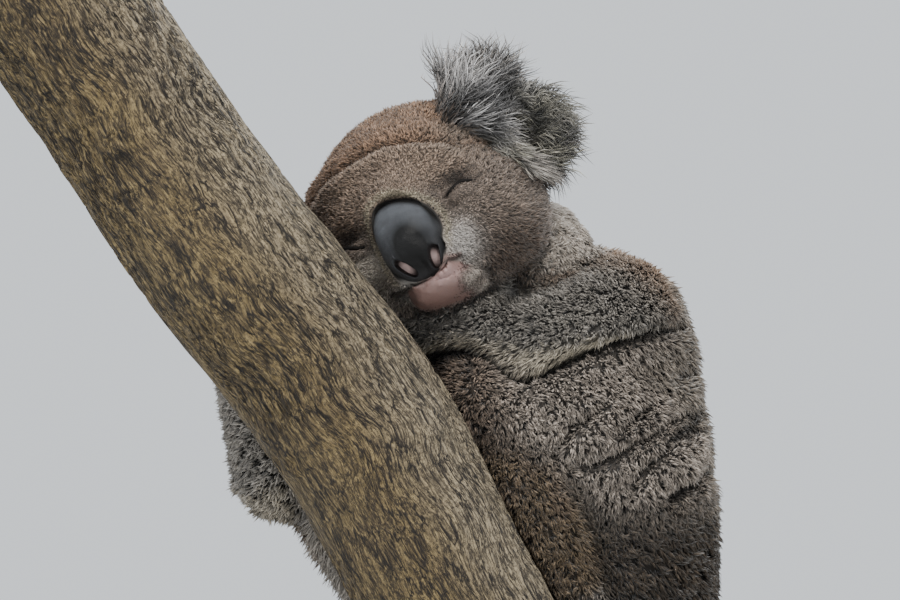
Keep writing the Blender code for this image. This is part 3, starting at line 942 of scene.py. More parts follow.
# the edge of the upper lip is raised to meet the nose, and the skin closes in round the nose's rim
left, up, out = local.T
lipShare = (1 - ease(np.abs(noseReach(left, up) - 1.03), 0.07, 0.17)) * ease(-up, 30, 38)
lipShare *= (1 - ease(-up, 45.5, 47)) * ease(out, 34, 44) * headWeight
lipRise = np.clip(face["lipOut"] - out, 0, 14) * lipShare
places = places + headTurn[:, 2] * (lipRise * mm)[:, None]
places = places + (relax(places, skinEdges, 0.5, 2) - places) * ease(lipShare, 0, 0.5)[:, None]
relief = faceRelief(toHead(places)) * headWeight
places = places + cornerNormals(places, skinFaces) * (relief * mm)[:, None]
local = toHead(places)

# Folds in the thick hide of the flank, drawn as lines seen from the side the head turns to, and soft lumps.
folds = {
    "lines": (
        ((0.134, 0.373), (0.106, 0.360), (0.076, 0.341), (0.052, 0.337)),
        ((0.093, 0.368), (0.074, 0.354)),
        ((0.120, 0.354), (0.100, 0.341), (0.083, 0.326)),
        ((0.130, 0.365), (0.104, 0.349)),
        ((0.134, 0.332), (0.104, 0.318)),
        ((0.066, 0.372), (0.050, 0.358), (0.042, 0.342)),
        ((0.128, 0.392), (0.112, 0.386)),
    ),
    "depth": 8.0,
    "width": 0.0038,
}


# 1 in the middle of a fold, falling to 0 beside it.
def foldShare(points, width):
    best = np.full(len(points), 1e9)
    wobble = softNoise(points, 0.012, 61) * 0.0022
    for line in folds["lines"]:
        xs, zs = zip(*line)
        distance, _ = fromPath(points[:, 0] + wobble, points[:, 2] - wobble, xs, zs)
        best = np.minimum(best, distance)
    return bell(best, width) * ease(-points[:, 1], -0.06, -0.01)


# The lower edge of the left arm, where the flank rolls up against it. The cut between the two solids
# is smoothed away and the crease is drawn again higher up.
armEdge = {
    "x": (
        -0.050, -0.031, -0.022, -0.007, 0.003, 0.010, 0.018, 0.026,
        0.035, 0.051, 0.068, 0.085, 0.095, 0.109, 0.130,
    ),
    "z": (
        0.396, 0.396, 0.399, 0.400, 0.396, 0.390, 0.384, 0.385,
        0.388, 0.396, 0.403, 0.409, 0.413, 0.414, 0.414,
    ),
    "depth": 9.0, "width": 0.0040, "roll": 2.4, "rollAbove": 0.010,
}


# 1 along the arm's edge, 0 on the head's side of it and on the far side of the body.
def besideArmEdge(points):
    return ease(points[:, 0], -0.045, -0.030) * ease(-points[:, 1], -0.035, -0.005)


x, y, z = places.T
edgeHeight = np.interp(x, armEdge["x"], armEdge["z"])
alongEdge = besideArmEdge(places)
smoothing = ease(x, 0.015, 0.035) * (1 - ease(x, 0.115, 0.130)) * ease(-y, -0.035, -0.005)
smoothing *= ease(z, 0.350, 0.365) * (1 - ease(z, 0.398, 0.412))
places = places + (relax(places, skinEdges, 0.7, 45) - places) * smoothing[:, None]
crease, _ = fromPath(places[:, 0], places[:, 2], armEdge["x"], armEdge["z"])
roll = bell(places[:, 2] - edgeHeight - armEdge["rollAbove"], 0.006) * armEdge["roll"]
roll = roll - bell(crease, armEdge["width"]) * armEdge["depth"]
roll = roll * alongEdge * (1 - headWeight) * mm
places = places + cornerNormals(places, skinFaces) * roll[:, None]
armColumns = [regionNames.index(name) for name in armRegions]
belowEdge = (1 - ease(z - edgeHeight, -0.003, 0.001)) * alongEdge
moved = share[:, armColumns] * belowEdge[:, None]
share[:, armColumns] -= moved
share[:, regionNames.index("thigh")] += moved.sum(1)

# Hair of the left ear also grows from the head, along the ear's base.
earBase = {"left": (36, 40, 47, 57, 66, 72), "up": (50, 38, 30, 15, -3, -14)}
left, up, out = local.T
distance, _ = fromPath(left, up, earBase["left"], earBase["up"])
taken = (1 - ease(distance, 9, 14)) * ease(left, 36.5, 39.5) * ease(out, -34, -24)
taken *= ease(up - np.interp(left, earBase["left"], earBase["up"]), -1.5, 2.0) * weightOf("head")
share[:, regionNames.index("head")] -= taken
share[:, regionNames.index("ear")] += taken
earFoot = ease(taken, 0.1, 0.6)

lumps = softNoise(places, 0.034, 71) * 1.2 + softNoise(places, 0.015, 72) * 0.8
bodyWeight = 1 - ease(weightOf("head", "jaw", "eyelid", "ear", "hand", "foot"), 0.1, 0.6)
shift = (lumps - foldShare(places, folds["width"]) * folds["depth"]) * bodyWeight * mm
places = places + cornerNormals(places, skinFaces) * shift[:, None]
normals = cornerNormals(places, skinFaces)
hollowness = np.clip(((relax(places, skinEdges, 1.0, 6) - places) * normals).sum(1) / (0.9 * mm), -1, 1)
print("face, ears and folds worked in")

# The lie of the coat.
earParting = {"slope": 0.62, "above": (0.42, 0.90, 0.10), "below": (0.72, -0.66, 0.16)}


# The middle of a CAD node's box.
def middleOf(node):
    low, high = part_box(node)
    return np.array((low + high) / 2)


# Ears: above the parting the hair goes up, below it outwards and down, and all of it spreads from the root.
def earLie(points, side):
    sign = 1 if side == "left" else -1
    root = np.array(earRoots[side]) * (sign, 1, 1)
    away = toHead(points) * (sign, 1, 1) - root
    above = ease(away[:, 1] - earParting["slope"] * away[:, 0] + 8, -7, 7)[:, None]
    way = np.array(earParting["above"]) * above + np.array(earParting["below"]) * (1 - above)
    way = unit(way + (0.25 + 0.20 * (1 - above)) * unit(away))
    return (way * (sign, 1, 1)) @ headTurn.T


# Each region's hair runs from where its limb starts towards where it ends; on the head it fans out
# from the nose.
def coatLie():
    lie = np.zeros_like(places)
    trunkWay = unit(middleOf("trunk") - middleOf("neck") + np.array((0.03, 0.02, -0.02)))
    lie += weightOf("trunk")[:, None] * trunkWay
    lie += weightOf("neck")[:, None] * unit(middleOf("trunk") - middleOf("head") + np.array((0.05, 0, 0)))
    for side in sides:
        mine = leftSide if side == "left" else ~leftSide
        arm = [middleOf(f"{part}_{side}") for part in ("upper_arm", "forearm", "hand")]
        limbWays = {
            "upper_arm": unit(arm[1] - arm[0] + np.array((0, 0, -0.030))),
            "forearm": unit(arm[2] - arm[1] + np.array((0, 0, -0.018))),
            "hand": unit(arm[2] - arm[1]),
        }
        down = unit(middleOf(f"foot_{side}") - middleOf(f"shank_{side}"))
        limbWays["thigh"] = unit(down + np.array((-0.35, -0.15, -0.6)))
        limbWays["shank"] = down
        limbWays["foot"] = unit(down + np.array((0, -0.8, 0)))
        for part, way in limbWays.items():
            lie += (weightOf(part) * mine)[:, None] * way
    fringe = fringeShare(places) * weightOf(*armRegions)
    slope = np.interp(places[:, 0], armEdge["x"], np.gradient(armEdge["z"], armEdge["x"]))
    combed = unit(np.stack([-np.ones(len(places)), 0 * slope, -slope - 0.30], 1))
    lie = lie * (1 - fringe)[:, None] + fringe[:, None] * combed
    tip = fromHead((0, -22, 58))
    fan = unit(places - tip) - 0.35 * headTurn[:, 2]
    lie += weightOf(*faceRegions)[:, None] * unit(fan)
    for side in sides:
        lie += (weightOf("ear") * besideEar(places, side))[:, None] * earLie(places, side)
    swept = unit(np.array((0.88, -0.40, 0.12))) @ headTurn.T
    return lie * (1 - earFoot)[:, None] + earFoot[:, None] * swept


# The pale fringe along the lower edge of the left arm: 1 near the edge, 0 above it.
def fringeShare(points):
    above = points[:, 2] - np.interp(points[:, 0], armEdge["x"], armEdge["z"])
    tall = np.interp(points[:, 0], (-0.04, 0.0, 0.02, 0.05, 0.09), (0.010, 0.011, 0.019, 0.010, 0.004))
    band = ease(above, -0.003, 0.0) * (1 - ease(above / tall, 0.75, 1.35))
    return band * between(points[:, 0], -0.04, 0.090, 0.02) * ease(-points[:, 1], -0.03, 0.0)


# What is left of each vector along the skin, brought to length 1.
def alongSkin(vectors, skinNormals):
    return unit(vectors - (vectors * skinNormals).sum(1, keepdims=True) * skinNormals)


flow = alongSkin(coatLie(), normals)
for _ in range(8):
    flow = alongSkin(relax(flow, skinEdges, 0.7, 2), normals)
swirl = softNoise(places, 0.028, 81) * 0.40 + softNoise(places, 0.011, 82) * 0.25
kneeWhorl = {"x": -0.008, "z": 0.389, "size": 0.020, "turn": 1.3}
besideKnee, overKnee = places[:, 0] - kneeWhorl["x"], places[:, 2] - kneeWhorl["z"]
whorl = bell(np.hypot(besideKnee, overKnee), kneeWhorl["size"]) * np.sign(besideKnee)
swirl += kneeWhorl["turn"] * whorl * weightOf("thigh", "shank")
across = np.cross(normals, flow)
flow = flow * np.cos(swirl)[:, None] + across * np.sin(swirl)[:, None]

# Markings, shared by the skin and the coat; among them are painted light and shade: the near-black tone low
# on the body and thighs and the near-black tones in creases and hollows are painted shade, and the pale far
# cheek is painted light.
furTones = {
    "body": (0.19, 0.162, 0.132), "crown": (0.225, 0.142, 0.092), "forehead": (0.255, 0.188, 0.140),
    "cheek": (0.175, 0.137, 0.110), "cheekDark": (0.078, 0.052, 0.037), "muzzle": (0.56, 0.525, 0.485),
    # side is painted light, a pale tone on the far cheek, brighter than its grey-brown fur
    "ring": (0.34, 0.30, 0.215), "lip": (0.22, 0.205, 0.185), "side": (0.60, 0.545, 0.47),
    "pink": (0.185, 0.118, 0.104), "chinEnd": (0.50, 0.44, 0.38), "lipEdge": (0.30, 0.20, 0.175),
    "neck": (0.44, 0.39, 0.335),
    "rust": (0.26, 0.170, 0.112), "earPale": (0.37, 0.36, 0.355), "earDark": (0.026, 0.025, 0.026),
    "earCream": (0.26, 0.244, 0.188), "arm": (0.185, 0.170, 0.150), "fringe": (0.42, 0.370, 0.285),
    "thigh": (0.285, 0.245, 0.208), "knee": (0.150, 0.113, 0.086), "shank": (0.125, 0.092, 0.058),
    # the near-black tone for the low rump is painted shade
    "rumpShade": (0.040, 0.030, 0.021), "chest": (0.46, 0.43, 0.37), "paw": (0.17, 0.15, 0.13),
    # socket and rim are near-black painted shade in hollows and creases
    "socket": (0.030, 0.021, 0.016), "rim": (0.010, 0.009, 0.008),
}
tones = {name: np.array(tone) for name, tone in furTones.items()}
# The rusty line over the left shoulder.
shoulderLine = {"x": (0.050, 0.066, 0.092, 0.115, 0.127), "z": (0.474, 0.473, 0.456, 0.436, 0.418)}


# A base tone moved towards another by an amount from 0 to 1.
def mixTone(base, tone, amount):
    return base + (tone - base) * amount[:, None]


# Tones laid over a base, in turn: each one's name, a factor on it, and how much of it shows.
def paint(base, *layers):
    for name, factor, amount in layers:
        base = mixTone(base, tones[name] * factor, amount)
    return base


# The head's colour: its markings laid over the cheek's tone, with painted light on the far cheek and under
# the chin and painted shade round the nose, round the chin and in the mouth's line, then the chin with a
# painted highlight, then painted shade in the closed eyes' slits and hollows.
def headTone(local, wide, fine):
    left, up, out = local.T
    front, mouthFront = ease(out, 0, 18), ease(out, 25, 35)
    overRidge = up - np.interp(left, face["ridge"]["left"], face["ridge"]["up"])
    earStart = np.interp(up, earBase["up"][::-1], earBase["left"][::-1])
    earSide = np.where(left > 0, 1, ease(-out, 8, 18))
    earSkin = ease(np.abs(left) - earStart, 2, 8) * ease(up, 8, 20) * earSide
    muzzle = np.hypot((left - 23.5 - 0.25 * (up + 33)) / 8.5, (up + 33) / 12.5)
    muzzle = np.minimum(muzzle, patchReach("farMuzzle", left, up) + 0.45)
    rim = noseReach(left, up)
    ringEnd = np.where(left < 0, ease(up, -42, -34), ease(up, -36, -26))
    ring = bell(rim - 1.15, 0.08) * ease(rim, 1.04, 1.09) * ease(out, 25, 38) * ringEnd
    lip = bell((up + 41.5) / 5, 1) * (1 - ease(np.abs(left + 5), 15, 24)) * ease(out, 28, 40)
    streaksAndShade = np.maximum(inPatch("cheekStreak", left, up), 1.15 * inPatch("lowStreak", left, up))
    chinRimShade = bell(patchReach("chin", left, up) - 1.11, 0.08) * ease(-up, 44, 48) * ease(out, 3, 14)
    lipEdge = bell(overMouth(left, up) - 1.8, 1.7) * between(left, -4, 18, 3) * mouthFront
    mouthLine = bell(fromMouth(left, up)[0], 1.3) * mouthFront * (1 - 0.7 * ease(left, 13, 19))
    head = paint(
        tones["cheek"],
        ("forehead", 1, ease(up + 3 * wide, -4, 12) * (1 - 0.6 * ease(left, 36, 56))),
        ("crown", 1, ease(overRidge + 2 * wide, 0.5, 4.5) * (1 - 0.35 * ease(up, 62, 74))),
        ("body", 1, 0.8 * ease(-out + 3 * wide, 4, 24)),
        ("body", 0.75, 0.75 * inPatch("temple", left, up)),
        ("earPale", 0.42, 0.95 * earSkin),  # grey under the ear's hair
        ("muzzle", 1, np.clip(1.1 * bell(muzzle + 0.12 * fine, 0.95) * front, 0, 0.95)),
        # painted light: a pale tone on the far cheek, below the eye, where shade falls
        ("side", 1, 0.9 * inPatch("farCheekLight", left, up) * front * ease(-up, 7, 14)),
        # painted shade: near black on the skin in the crease round the nose
        ("rim", 1, 0.97 * (1 - ease(rim, 1.03, 1.08)) * ease(out, 5, 15)),
        ("ring", 1, 0.85 * ring),
        ("lip", 1, 0.9 * lip),
        # dark brown fur on the lower cheek, partly painted shade beside the chin
        ("cheekDark", 1, np.clip(0.85 * streaksAndShade + 0.15 * fine * streaksAndShade, 0, 1)),
        ("chest", 1, 0.7 * ease(-up + 2 * wide, 58, 68) * ease(14 - out, 0, 20)),
        # painted light: the arm's tone made 2.2 times as bright under the chin, where shade falls
        ("arm", 2.2, 0.9 * throatShare(local)),
        # painted shade in the crease round the chin's lower edge
        ("cheekDark", 0.45, 0.85 * chinRimShade),
        ("lipEdge", 1, 0.9 * lipEdge),
        # painted shade in the crease of the mouth's line
        ("socket", 1, 0.9 * mouthLine),
    )
    chin = paint(
        tones["pink"],
        ("pink", (0.70, 0.62, 0.58), ease(-up - 0.15 * left, 52, 60)),
        # painted highlight: a paler, bluer patch on the front of the chin
        ("pink", (1.25, 1.25, 1.35), inPatch("chinHighlight", left, up)),
        ("chinEnd", 1, 0.95 * chinFuzz(left + 1.5 * fine, up)),
    )
    head = mixTone(head, chin, chinShare(local))
    # Painted shade: dark in the closed eyes' slits and in the hollows above them, the right eye's hollow
    # less.
    for side, depth in ((1, 0.93), (-1, 0.75)):
        distance, along = fromSlit(side, left, up)
        shade = 0.95 * bell(distance, 1.7) * (1 - 0.4 * along)
        shade = shade + depth * inPatch("socket", left * side, up) * (up > -4)
        head = paint(head, ("socket", 1, np.clip(shade * front, 0, 0.95)))
    return head


# The coat's colour at places on the skin, from the regions' shares and from where it is on the animal.
def furTone(points, shares, skinNormals):
    local = toHead(points)
    x, y, z = points.T
    wide, fine = softNoise(points, 0.05, 91), softNoise(points, 0.013, 92)
    towardsChest = (skinNormals @ np.array((-0.77, -0.64, 0.0)), -x * 0.77 - y * 0.64)
    frontal = ease(towardsChest[0], 0.35, 0.8) * ease(towardsChest[1], -0.03, 0.02)
    cream = between(x + 0.004 * wide, 0.026, 0.066, 0.006)
    cream = cream * between(z + 0.004 * fine, 0.452, 0.500, 0.006)
    body = paint(
        tones["body"],
        # painted shade: near black low on the body
        ("rumpShade", 1, ease(0.335 - z + 0.012 * wide, 0, 0.05)),
        ("rust", 1, 0.75 * ease(z + 0.010 * wide, 0.428, 0.455)),
        ("chest", 1, 0.9 * frontal),
        ("neck", 1, 0.95 * cream * ease(-y, -0.09, -0.06)),
    )
    shoulder, _ = fromPath(x, z, shoulderLine["x"], shoulderLine["z"])
    arm = paint(
        tones["arm"],
        ("rust", 1, 0.75 * bell(shoulder + 0.003 * fine, 0.014)),
        ("fringe", 1, 0.95 * fringeShare(points)),
        ("fringe", 0.8, 0.6 * ease(-skinNormals[:, 2] + 0.25 * fine, 0.25, 0.7) * (x < -0.05)),
    )
    thigh = paint(
        tones["thigh"],
        ("knee", 1, ease(0.026 - x + 0.01 * wide, 0, 0.035)),
        # painted shade: near black low at the back of the thigh
        ("rumpShade", 1, 0.75 * ease(0.330 - z + 0.2 * (x - 0.08) + 0.01 * wide, 0, 0.035)),
    )
    shank = paint(
        tones["shank"],
        ("knee", 1, ease(z, 0.335, 0.36)),
        ("knee", 0.8, 0.5 * ease(fine, 0.0, 0.5)),
        ("arm", 1.3, 0.9 * ease(-x, 0.02, 0.045)),
    )
    tone = 0
    for part, names in (
        (body, ("trunk", "neck")),
        (arm, armRegions),
        (thigh, ("thigh",)),
        (shank, ("shank",)),
        (tones["paw"], ("hand", "foot")),
        (headTone(local, wide, fine), faceRegions),
        (earTone(points, local, skinNormals), ("ear",)),
    ):
        tone = tone + part * weightOf(*names, shares=shares)[:, None]
    return tone * (1 + 0.10 * wide + 0.12 * fine)[:, None]


# The ears' colour: pale locks and dark ones, cream low down inside, dark at the outer and upper edge.
def earTone(points, local, skinNormals):
    left, up = np.abs(local[:, 0]), local[:, 1]
    lock = softNoise(points, 0.007, 93)
    inner = ease(skinNormals @ headTurn[:, 2] + 0.3 * lock, -0.1, 0.6)
    return paint(
        tones["earPale"],
        ("body", 1, 0.75 * (1 - inner)),
        ("earDark", 1, 0.9 * ease(lock, -0.15, 0.35)),
        ("earCream", 1, 0.85 * ease(38 - up + 0.62 * (left - 67) + 5 * lock, 0, 14) * inner),
        ("earDark", 1, 0.8 * inPatch("earOuter", left, up) * inner),
        ("earDark", 1, 0.75 * inPatch("earUpper", left, up) * (lock > -0.5)),
    )


skinTone = furTone(places, share, normals)
downy = ease(weightOf(*faceRegions), 0.3, 0.8) * ease(local[:, 2], -5, 20)
# The skin under the coat is darker than its tone: the hair's dark bases and partly painted shade deep in
# the coat, and painted shade in hollows; the bare chin keeps its own tone.
darker = 0.30 + 0.42 * downy - 0.15 * np.clip(hollowness, 0, 1) - 0.12 * weightOf("ear")
bareShare = chinShare(local) * headWeight * (1 - chinFuzz(local[:, 0], local[:, 1]))
darker = darker + (1.0 - darker) * bareShare


# Skin: the coat's tones under the hair, darkened in its tint, partly as painted shade, with a downy grain;
# the chin is bare and pink.
def skinMaterial():
    made, tree, shader = newMaterial("skinDown", 0.85)
    tint = carried(tree, "tint").outputs["Color"]
    bare = carried(tree, "bare").outputs["Fac"]
    grain = placeSpeckle(tree, 900.0, 0.5)
    dark = mixColour(tree, 1.0, tint, (0.55, 0.52, 0.50), "MULTIPLY")
    tone = mixColour(tree, grain.outputs["Mask"], tint, dark)
    pore = noiseAt(tree, tree.nodes.new("ShaderNodeTexCoord"), "Object", 420.0, 4.0)
    flush = layer(tree, tint, (0.20, 0.11, 0.09), pore, 0.35, 0.65, 0.35)
    setFinish(tree, shader, mixColour(tree, bare, tone, flush), bare, 0.9, 0.52, 0, 1)
    addBump(tree, shader, grain.outputs["Grain"], 0.5, 0.0008)
    return made


skin = meshObject("skin", places, skinFaces)
addColour(skin, "tint", skinTone * darker[:, None])
addValue(skin, "bare", bareShare)
skin.data.materials.append(skinMaterial())
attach(skin, "root")
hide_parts(*fleshNodes)
print("skin", len(skinFaces), "triangles")

# Which tufts make one piece: regions, the side where it matters, rings in a tuft, the slot, and, for a
# sleeve, the two nodes whose line it is unwrapped round; other pieces unwrap round the face's up axis.
coatPieces = {
    "coatFace": {"regions": faceRegions, "rings": 1, "front": True, "slot": "face_coat"},
    "coatHead": {"regions": faceRegions, "rings": 1, "front": False, "slot": "face_coat"},
    "coatEarLeft": {"regions": ("ear",), "side": "left", "rings": 3, "slot": "ear_coat"},
    "coatEarRight": {"regions": ("ear",), "side": "right", "rings": 3, "slot": "ear_coat"},
    "coatNeck": {"regions": ("neck",), "rings": 1, "slot": "coat"},
    "coatTrunk": {"regions": ("trunk",), "rings": 1, "sleeve": ("neck", "trunk"), "slot": "coat"},
    "coatPaws": {"regions": ("hand", "foot"), "rings": 1, "slot": "coat"},
}
sleeves = {"Arm": (armRegions, "upper_arm", "forearm"), "Leg": (("thigh", "shank"), "thigh", "foot")}
for side in sides:
    for limb, (regions, start, end) in sleeves.items():
        ends = (f"{start}_{side}", f"{end}_{side}")
        made = {"regions": regions, "side": side, "rings": 1, "sleeve": ends, "slot": "coat"}
        coatPieces[f"coat{limb}{side.title()}"] = made
tuftMost = 198000  # triangles in one piece
faceEnds = 16  # how far out of the face, in mm, the face's piece of coat gives way to the head's
rng = np.random.default_rng(11)


# Roots spread over the skin: even steps through the triangles' running total of tufts, then a random
# place in the triangle.
def spreadRoots():
    a, b, c = (places[skinFaces[:, k]] for k in range(3))
    area = np.linalg.norm(np.cross(b - a, c - a), axis=1) / 2
    faceShare = share[skinFaces].mean(1)
    wanted = area * 1e4 * blendOf("dense", faceShare)
    left, up, out = toHead((a + b + c) / 3).T
    onHead = weightOf(*faceRegions, shares=faceShare)
    wanted *= 1 + 0.75 * onHead * ease(out, 0, 20)
    for side in (1, -1):
        distance, _ = fromSlit(side, left, up)
        wanted *= 1 - onHead * ease(out, 0, 15) * (1 - ease(distance, 0.5, 1.1))
    wanted *= 1 - onHead * ease(out, 5, 15) * (1 - ease(noseReach(left, up), 1.02, 1.07))
    distance, _ = fromMouth(left, up)
    gum = between(overMouth(left, up), 0.0, 2.4, 1.0) * between(left, -4, 16, 3)
    wanted *= 1 - onHead * ease(out, 20, 30) * np.maximum(1 - ease(distance, 0.6, 1.2), gum)
    wanted *= 1 - onHead * chinShare(np.stack([left, up, out], 1)) * (1 - chinFuzz(left + 2, up))
    wanted *= barkGap((a + b + c) / 3)[0] > -0.5 * mm
    running = np.concatenate([[0], np.cumsum(wanted)])
    count = int(running[-1])
    steps = np.arange(count) + rng.random(count)
    rootIn = np.clip(np.searchsorted(running, steps, side="right") - 1, 0, len(skinFaces) - 1)
    one, two = rng.random(count), rng.random(count)
    fold = one + two > 1
    one, two = np.where(fold, 1 - one, one), np.where(fold, 1 - two, two)
    return rootIn, np.stack([1 - one - two, one, two], 1)


# Values at the corners of each root's triangle, averaged by where it is in the triangle.
def atRoots(values, faceIndex, mixing):
    corners = values[skinFaces[faceIndex]]
    return (corners * mixing[:, :, None]).sum(1)


# 1 in the crease under the left arm, falling to 0 beside it.
def edgeFold(points):
    distance, _ = fromPath(points[:, 0], points[:, 2], armEdge["x"], armEdge["z"])
    return bell(distance, 0.0042) * besideArmEdge(points)


rootFace, rootMix = spreadRoots()
roots = atRoots(places, rootFace, rootMix)
rootNormals = unit(atRoots(normals, rootFace, rootMix))
rootFlow = alongSkin(atRoots(flow, rootFace, rootMix), rootNormals)
rootShare = atRoots(share, rootFace, rootMix)
rootHollow = atRoots(hollowness[:, None], rootFace, rootMix)[:, 0]
offHead = 1 - ease(weightOf(*faceRegions, "ear", shares=rootShare), 0.1, 0.5)
rootFold = np.maximum(foldShare(roots, folds["width"] * 0.85), edgeFold(roots)) * offHead
print("coat roots", len(roots))


# How much longer, wider and steeper the hair is than its region's own, where a share is 1.
hairChange = {
    "nearNose": (-0.42, -0.22, 0), "nearEye": (-0.22, 0, 0), "noseRim": (-0.25, 0, 0),
    "chin": (1, 0, 0), "jowl": (0.9, 0, -0.3), "crown": (0.35, 0, 0),
    "armFringe": (0.15, -0.20, -0.62), "elbow": (0.25, 0.35, 0), "hanging": (0.9, 0, 0),
    "fold": (-0.60, 0, 0), "parting": (-0.62, 0, 0), "overParting": (0.35, 0, 0),
    "rightEar": (-0.45, 0, 0),
}


# Length, width and lift of every tuft: its region's own, changed where the hair differs from it.
def tuftShapes():
    local = toHead(roots)
    left, up, out = local.T
    onHead, onArm = weightOf(*faceRegions, shares=rootShare), weightOf(*armRegions, shares=rootShare)
    onLeg = weightOf("shank", "thigh", "foot", shares=rootShare)
    facingDown = ease(rootNormals @ np.array((-0.80, -0.1, -0.58)), 0.1, 0.6)
    amounts = {
        "nearNose": onHead * (1 - ease(np.linalg.norm(local - (0, -18, 50), axis=1), 24, 60)),
        "nearEye": onHead * inPatch("eyeHair", np.abs(left), up) * ease(out, 5, 20),
        "noseRim": onHead * ease(noseReach(left, up), 1.30, 1.05) * ease(out, 25, 38),
        "chin": onHead * chinShare(local) * (0.5 * chinFuzz(left, up) - 0.35),
        "jowl": onHead * ease(left, 34, 56) * ease(-up, 15, 32),
        "crown": onHead * ease(up, 44, 62),
        "armFringe": onArm * fringeShare(roots),
        "elbow": onArm * bell(np.linalg.norm(roots - (-0.112, 0.0, 0.308), axis=1), 0.034),
        "hanging": onLeg * facingDown * ease(-roots[:, 0], 0.015, 0.04),
        "fold": rootFold,
    }
    changes = list(amounts.items())
    for side, sign in (("left", 1), ("right", -1)):
        away = (local - earRoots[side]) * (sign, 1, 1)
        onEar = weightOf("ear", shares=rootShare) * (np.sign(left) == sign)
        parting = away[:, 1] - earParting["slope"] * away[:, 0] + 8
        changes.append(("parting", onEar * bell(parting, 9) * ease(away[:, 0], 12, 26)))
        changes.append(("overParting", onEar * ease(parting, 6, 24)))
    changes.append(("rightEar", onEar))
    length, width = blendOf("length", rootShare), blendOf("width", rootShare)
    lift = np.radians(blendOf("lift", rootShare))
    for name, amount in changes:
        forLength, forWidth, forLift = hairChange[name]
        length = length * (1 + forLength * amount)
        width = width * (1 + forWidth * amount)
        lift = lift * (1 + forLift * amount)
    foot = atRoots(earFoot[:, None], rootFace, rootMix)[:, 0]
    upright = ease(up, 26, 40)
    lift = lift * (1 - foot) + np.radians(34 + 38 * upright) * foot
    length = length * (1 + foot * (0.05 + 0.35 * upright))
    throat = onHead * throatShare(local)
    return length * (1 + throat), width * (1 + 0.6 * throat), lift + 0.35 * throat


tuftLength, tuftWidth, tuftLift = tuftShapes()
tuftCalm = 1 - 0.8 * fringeShare(roots) * weightOf(*armRegions, shares=rootShare)

# How tufts gather: size of a lock and of a bundle of locks (mm), how far their tips are drawn to its
# middle, and how far (radians) each lock turns its own way.
tuftGather = {
    "head": {"lock": 1.9, "draw": 0.35, "turn": 0.40, "bundle": 6.0, "drawAll": 0.06, "wave": 0.0},
    "ear": {"lock": 4.6, "draw": 0.55, "turn": 0.42, "bundle": 13.0, "drawAll": 0.12, "wave": 0.17},
    "body": {"lock": 2.7, "draw": 0.72, "turn": 0.90, "bundle": 9.0, "drawAll": 0.15, "wave": 0.0},
}
# How far chance takes a tuft from its lock's way (radians), its own length, width and lift, and how it
# bends aside, sags and hangs.
tuftChance = {
    "turn": 0.20, "length": (0.75, 1.18), "width": (0.75, 1.25), "lift": (0.75, 1.2),
    "bend": 0.14, "sag": (0.05, 0.30), "hang": 0.08, "rootDeep": 0.07, "offBark": 1.2,
}
# Shares of dark and pale hairs and the factors on their tone; tones at the root and tip by ring number, the
# dark root partly the hair's own and partly painted shade; and how much darker the hair is, as painted
# shade, in hollows and in folds.
hairTone = {
    "darkBelow": 0.26, "dark": 0.55, "paleAbove": 0.78, "pale": 1.55,
    "rootTone": {1: 0.22, 3: 0.14}, "tipMore": {1: 1.0, 3: 1.05}, "hollow": 0.40, "fold": 0.90,
}
# Where the rings stand along a tuft, root and tip included, and how wide they are, by their number.
ringPlaces = {1: (0, 0.62, 1), 3: (0, 0.26, 0.54, 0.80, 1)}
ringWidths = {1: (1.0,), 3: (0.85, 1.0, 0.66)}


# The corners of closed spindles: a root point, three-sided rings along a line, a tip.
def spindlePattern(rings):
    pattern = [(0, 1 + (k + 1) % 3, 1 + k) for k in range(3)]
    for ring in range(rings - 1):
        low, high = 1 + 3 * ring, 4 + 3 * ring
        for a, b in ((0, 1), (1, 2), (2, 0)):
            pattern += [(low + a, low + b, high + b), (low + a, high + b, high + a)]
    last = 3 * rings - 2
    pattern += [(last + k, last + (k + 1) % 3, 3 * rings + 1) for k in range(3)]
    return np.array(pattern)


